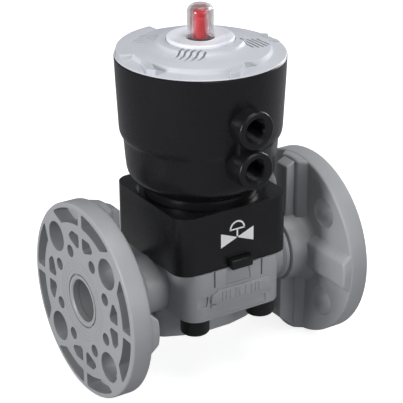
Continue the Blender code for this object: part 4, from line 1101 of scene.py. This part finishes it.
@dataclass
class Lid:
    """The pale lid: a raised centre, a band with ridges and notches, and vent slits.

    Outlines are drawn from above, in millimetres.
    """

    rim_radius: float = 48.4 * MM
    rim: float = 133.75 * MM
    plateau_radius: float = 39.5 * MM
    plateau: float = 137.5 * MM
    centre: float = 141.8 * MM
    disc_radius: float = 19.5 * MM
    slit_pitch: float = 3.3 * MM
    slit_half: float = 0.65 * MM
    slit_lengths: tuple[float, ...] = (10.5 * MM, 13.0 * MM, 14.0 * MM, 13.0 * MM, 10.5 * MM)

    def section(self) -> list[Point]:
        """Section of the lid without its ridges, from the centre out and back below."""
        rim, plateau, centre = above(self.rim), above(self.plateau), above(self.centre)
        r, p, disc = self.rim_radius, self.plateau_radius, self.disc_radius
        middle = near((disc, centre), (0, -0.2), (0.3, 0))
        step = near((0, centre), (23.4, 0), (24.1, -0.25), (24.6, -1.1), (26.0, -2.2), (32.0, -3.2))
        edge = near((p, plateau), (-1.0, 0), (-0.2, -0.3), (0.2, -1.0))
        edge += near((p, rim), (0.9, 1.3), (1.6, 0.9))
        band = near((r, rim), (-0.8, 0.6), (-0.2, 0.3), (0, 0))
        under = [(r, above(133.7 * MM))]
        under += near((0, AXIS_Z), (38.2, 133.7), (38.2, 127.5), (35.2, 127.5), (35.2, 134.2), (12, 135.7),
                      (12, 131.5), (4.3, 131.5))
        under += [(4.3 * MM, centre - 1.5 * MM), (disc, centre - 1.5 * MM)]
        return middle + step + edge + band + under

    def raised_parts(self) -> list[Shape]:
        """Three ridges and a high quadrant that stand on the band."""
        low, high = above(self.rim) - 0.2 * MM, above(self.plateau) - 0.1 * MM
        left = [(-36.0, 1.2), (-38.6, 1.4), (-42.3, -9.9), (-44.8, -16.2), (-42.2, -22.6), (-40.9, -18.0),
                (-36.2, -7.0)]
        front = [(-1.0, -36.0), (3.4, -38.4), (2.6, -40.0), (-5.6, -47.6), (-11.4, -46.6), (-6.0, -41.6)]
        right = [(-y, x) for x, y in front]
        outlines = [rounded(millimetres(outline), corner * MM, 3)
                    for outline, corner in ((left, 0.5), (front, 0.8), (right, 0.8))]
        outlines.append(millimetres(arc(47.4, 96, 168, 18) + arc(38.5, 168, 96, 18)))
        return [Shape().plate([outline], low, high).softened(0.6 * MM, 3, 50, lambda p: p.z > high - 1e-5)
                for outline in outlines]

    def notches(self) -> list[Shape]:
        """Cutters that bite into the plateau's edge."""
        floor, over = above(self.rim + 1.0 * MM), above(self.centre + 3 * MM)
        front = [(3.8, -37.6), (8.0, -37.4), (12.6, -39.3), (17.5, -43.0), (24.0, -38.0), (30.0, -44.0),
                 (4.0, -50.0)]
        right = [(38.0, -1.5), (50.0, -2.5), (50.0, -13.0), (38.5, -11.0)]
        return [Shape().plate([rounded(millimetres(outline), 0.5 * MM, 3)], floor, over)
                for outline in (front, right)]

    def slits(self) -> list[Shape]:
        """Cutters for the four groups of five parallel vent slits: two go through, and two are blind."""
        deep, shallow = self.centre - 8.0 * MM, self.centre - 3.2 * MM
        groups = (((-20.5, 24.5), 118, deep), ((26.0, -15.5), -78, deep),
                  ((-17.2, -17.5), 207.5, shallow), ((19.5, 19.0), 28, shallow))
        shapes, half = [], self.slit_half
        for (x, y), turn, floor in groups:
            group = Shape()
            for i, length in enumerate(self.slit_lengths):
                across = (i - 2) * self.slit_pitch
                outline = [(-length / 2, across - half), (length / 2, across - half),
                           (length / 2, across + half), (-length / 2, across + half)]
                group.plate([rounded(outline, half, 4)], above(floor), above(self.centre + 1 * MM))
            shapes.append(group.moved(placed((x * MM, y * MM, 0), turn, "Z")))
        return shapes

    def build(self) -> None:
        """Make the lid, with the air's way through its skirt, and the disc in its middle."""
        piece = Piece("lid_shell", Shape().turned(self.section(), 192).mesh())
        for shape in self.raised_parts():
            piece.boolean(shape, "UNION")
        air = Shape().box((-1.8 * MM, -39.5 * MM, above(126 * MM)), (1.8 * MM, -33.5 * MM, above(132.9 * MM)))
        piece.cut(self.notches() + self.slits() + [air])
        piece.dressed(PALE, "lid", 30).riding(replaces=["lid"])
        Piece("disc", self.disc()).dressed(WHITE, "centre_disc").riding(replaces=["centre_disc"])

    def disc(self) -> bpy.types.Mesh:
        """The white disc, slightly dished, with the dome's seat in it."""
        top, low, r = above(143.6 * MM), above(140.6 * MM), 19.2 * MM
        edge = arc(0.9 * MM, 90, 0, 5, (r - 0.9 * MM, top - 0.9 * MM))
        seat = [(4.3 * MM, low)] + near((0, top), (4.3, -2.0), (7.8, -2.0), (7.8, -1.0), (8.1, -0.75))
        dish = near((r, top), (-4.6, -0.7), (-3.2, -0.35))
        return Shape().turned([(r - 2.2 * MM, top)] + edge + [(r, low)] + seat + dish, 144).mesh()


# ------------------------------------------------------------------ indicator

@dataclass
class Indicator:
    """The clear dome, its dark seat and the red pin inside."""

    dome_radius: float = 7.5 * MM
    wall: float = 1.5 * MM
    dome_top: float = 162.0 * MM
    dome_low: float = 143.4 * MM
    pin_radius: float = 3.9 * MM
    pin_top: float = 158.3 * MM

    def dome(self) -> bpy.types.Mesh:
        """The clear cap with round shoulders."""
        r, top, low, wall = self.dome_radius, above(self.dome_top), above(self.dome_low), self.wall
        shoulder = 4.5 * MM
        centre = (r - shoulder, top - shoulder)
        outer = arc(shoulder, 90, 0, 12, centre)
        inner = arc(shoulder - wall, 0, 90, 12, centre)
        profile = [(0, top)] + outer + [(r, low), (r - wall, low)] + inner + [(0, top - wall)]
        return Shape().turned(profile, 96).mesh()

    def pin(self) -> bpy.types.Mesh:
        """The red pin with a groove near its top."""
        r, top, low = self.pin_radius, above(self.pin_top), above(142.1 * MM)
        crown = arc(0.7 * MM, 90, 0, 5, (r - 0.7 * MM, top - 0.7 * MM))
        groove = near((r, top), (0, -2.2), (-0.45, -2.6), (-0.45, -3.3), (0, -3.7))
        return Shape().turned([(0, top)] + crown + groove + [(r, low), (0, low)], 72).mesh()

    def build(self) -> None:
        """Make the dome and pin, and dress the seat."""
        Piece("clear_dome", self.dome()).dressed(CLEAR, "dome").riding(replaces=["dome"])
        Piece("red_pin", self.pin()).dressed(RED, "indicator_pin").riding(MOVING_BODY, ["indicator_pin"])
        dress_node("dome_seat", RUBBER, "dome_seat")


# ------------------------------------------------------------------ drive

@dataclass
class Drive:
    """The hidden drive: diaphragm, compressor, stem, piston and springs."""

    stroke: float = 13.0 * MM
    spring_floor: float = 67.5 * MM
    spring_top: float = 113.7 * MM
    springs: tuple[tuple[str, float, float, int], ...] = (("outer_spring", 29.0 * MM, 2.0 * MM, 5),
                                                          ("inner_spring", 18.5 * MM, 1.6 * MM, 6))

    def spring(self, name: str, radius: float, wire: float, turns: int) -> None:
        """One smooth coil."""
        low = above(self.spring_floor) + wire + 0.6 * MM
        high = above(self.spring_top) - wire
        per_turn = 40
        count = turns * per_turn
        points = []
        for i in range(count + 1):
            turn = 2 * math.pi * i / per_turn
            points.append((radius * math.cos(turn), radius * math.sin(turn), low + (high - low) * i / count))
        piece = Piece(f"{name}_coil", Shape().tube(points, wire, 12).mesh()).dressed(SPRING_STEEL, name)
        piece.riding(FIXED_BODY, [name])
        keep = 1 - self.stroke / (high + wire - (low - wire))
        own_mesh(piece.object, STEM_JOINT, axis=(0, 0, 1), anchor=(0, 0, low - wire), keep=keep)

    def diaphragm(self) -> list[Point]:
        """Section of the rubber disc at rest, with a clamped rim and an arched centre."""
        half = 1.6 * MM
        rim, centre = above(17 * MM), above(20.6 * MM)
        top = [(0, centre + half), (8 * MM, centre + half), (12 * MM, centre + 0.6 * half),
               (16 * MM, centre - 0.3 * half), (19 * MM, rim + 1.1 * half), (22 * MM, rim + half),
               (30 * MM, rim + half)]
        under = [(30 * MM, rim - half), (22.5 * MM, rim - half), (19 * MM, rim - 0.9 * half),
                 (16 * MM, centre - 2.3 * half), (12 * MM, centre - 1.4 * half), (8 * MM, centre - half),
                 (0, centre - half)]
        return top + under

    def sectors(self) -> None:
        """Make the diaphragm in equal sectors."""
        count = 8
        for i in range(count):
            middle = 360 / count * i
            shape = Shape().sector(self.diaphragm(), middle - 180 / count, 360 / count, 10)
            piece = Piece(f"diaphragm_{i + 1}", shape.mesh()).dressed(RUBBER, "diaphragm")
            height = Vector((0, 0, above(17 * MM)))
            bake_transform(piece.object)
            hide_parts("diaphragm")

    def build(self) -> None:
        """Make the soft and coiled pieces, and dress the rest."""
        for name, radius, wire, turns in self.springs:
            self.spring(name, radius, wire, turns)
        self.sectors()
        for name, finish in (("compressor", BLACK), ("stem_pin", STEEL), ("stem", STEEL), ("piston", PALE),
                             ("piston_seal", RUBBER), ("piston_washer", STEEL), ("piston_nut", STEEL)):
            dress_node(name, finish, name)


# ------------------------------------------------------------------ studio

@dataclass
class Studio:
    """A pale floor, soft lights and the camera.

    The floor and the world are bright to the camera and dim to the valve's own reflections.
    """

    camera_place: tuple[float, float, float] = (-0.44119, -0.69613, 0.46902)
    aim: tuple[float, float, float] = (0.49606, 0.76205, -0.41617)
    right: tuple[float, float, float] = (0.83837, -0.54510, 0.00116)
    up: tuple[float, float, float] = (0.22597, 0.34948, 0.90928)
    lens: float = 138.52
    shift: tuple[float, float] = (-0.0417, 0.0316)
    room_light: float = 0.2
    floor_half: float = 4.0
    floor_glow: float = 0.82
    lights: tuple[tuple[str, tuple[float, float, float], float, float], ...] = (
        ("key", (-1.60, -0.25, 0.45), 0.5, 21.0), ("top", (0.1, -0.3, 1.7), 0.9, 13.5),
        ("front", (0.5, -1.5, 0.6), 0.8, 8.5), ("edge", (1.4, 0.3, 0.6), 0.6, 12.0))

    def floor(self) -> None:
        """A flat pale floor with a soft sheen."""
        shape, half = Shape(), self.floor_half
        corners = ((-half, -half, 0), (half, -half, 0), (half, half, 0), (-half, half, 0))
        shape.edit.faces.new([shape.edit.verts.new(corner) for corner in corners])
        mesh = bpy.data.meshes.new("floor")
        shape.edit.to_mesh(mesh)
        floor = bpy.data.objects.new("floor", mesh)
        bpy.context.scene.collection.objects.link(floor)
        graph = Surface("floor")
        cloud = graph.noise(0.5, 2)
        tone = graph.blend(cloud, (0.52, 0.52, 0.52), (0.55, 0.55, 0.55))
        mesh.materials.append(graph.finish(Base_Color=tone, Roughness=0.30 + cloud * 0.05,
                                           Emission_Color=(1, 1, 1), Emission_Strength=self.floor_glow))
        dim = graph.node("ShaderNodeBsdfDiffuse", {}, {"Color": (0.35, 0.35, 0.36)})
        graph.show(Wire(graph, graph.shader.outputs["BSDF"]), dim, "Material Output")

    def light(self, name: str, place: Sequence[float], size: float, power: float) -> None:
        """A square area light aimed at the valve."""
        data = bpy.data.lights.new(name, "AREA")
        data.size, data.energy = size, power
        lamp = bpy.data.objects.new(name, data)
        lamp.location = place
        target = Vector((0, 0, 0.11))
        lamp.rotation_euler = (Vector(place) - target).to_track_quat("Z", "Y").to_euler()
        bpy.context.scene.collection.objects.link(lamp)

    def camera(self) -> None:
        """The camera, with its own small shift."""
        data = bpy.data.cameras.new("camera")
        data.sensor_width, data.lens = 36.0, self.lens
        data.shift_x, data.shift_y = self.shift
        camera = bpy.data.objects.new("camera", data)
        turn = Matrix((Vector(self.right), Vector(self.up), -Vector(self.aim))).transposed().to_4x4()
        camera.matrix_world = Matrix.Translation(self.camera_place) @ turn
        bpy.context.scene.collection.objects.link(camera)
        bpy.context.scene.camera = camera

    def build(self) -> None:
        """Set up everything that isn't the valve."""
        scene = bpy.context.scene
        scene.view_settings.view_transform = "Standard"
        scene.world = bpy.data.worlds.new("studio")
        scene.world.use_nodes = True
        graph = Graph(scene.world.node_tree)
        white = graph.node("ShaderNodeBackground", {}, {"Color": (1.0, 1.0, 1.0), "Strength": 1.0})
        room = graph.node("ShaderNodeBackground", {},
                          {"Color": (0.93, 0.96, 1.0), "Strength": self.room_light})
        graph.show(white, room, "World Output")
        self.floor()
        for name, place, size, power in self.lights:
            self.light(name, place, size, power)
        self.camera()


def main() -> None:
    """Build the valve and its setting."""
    logging.basicConfig(level=logging.INFO, format="%(name)s %(message)s")
    sections = [ValveBody(), EndFlange("inlet", -1), EndFlange("outlet", 1), Fasteners(), Bonnet(),
                Actuator(), Lid(), Indicator(), Drive(), Studio()]
    for section in sections:
        section.build()


if __name__ == "__main__":
    main()
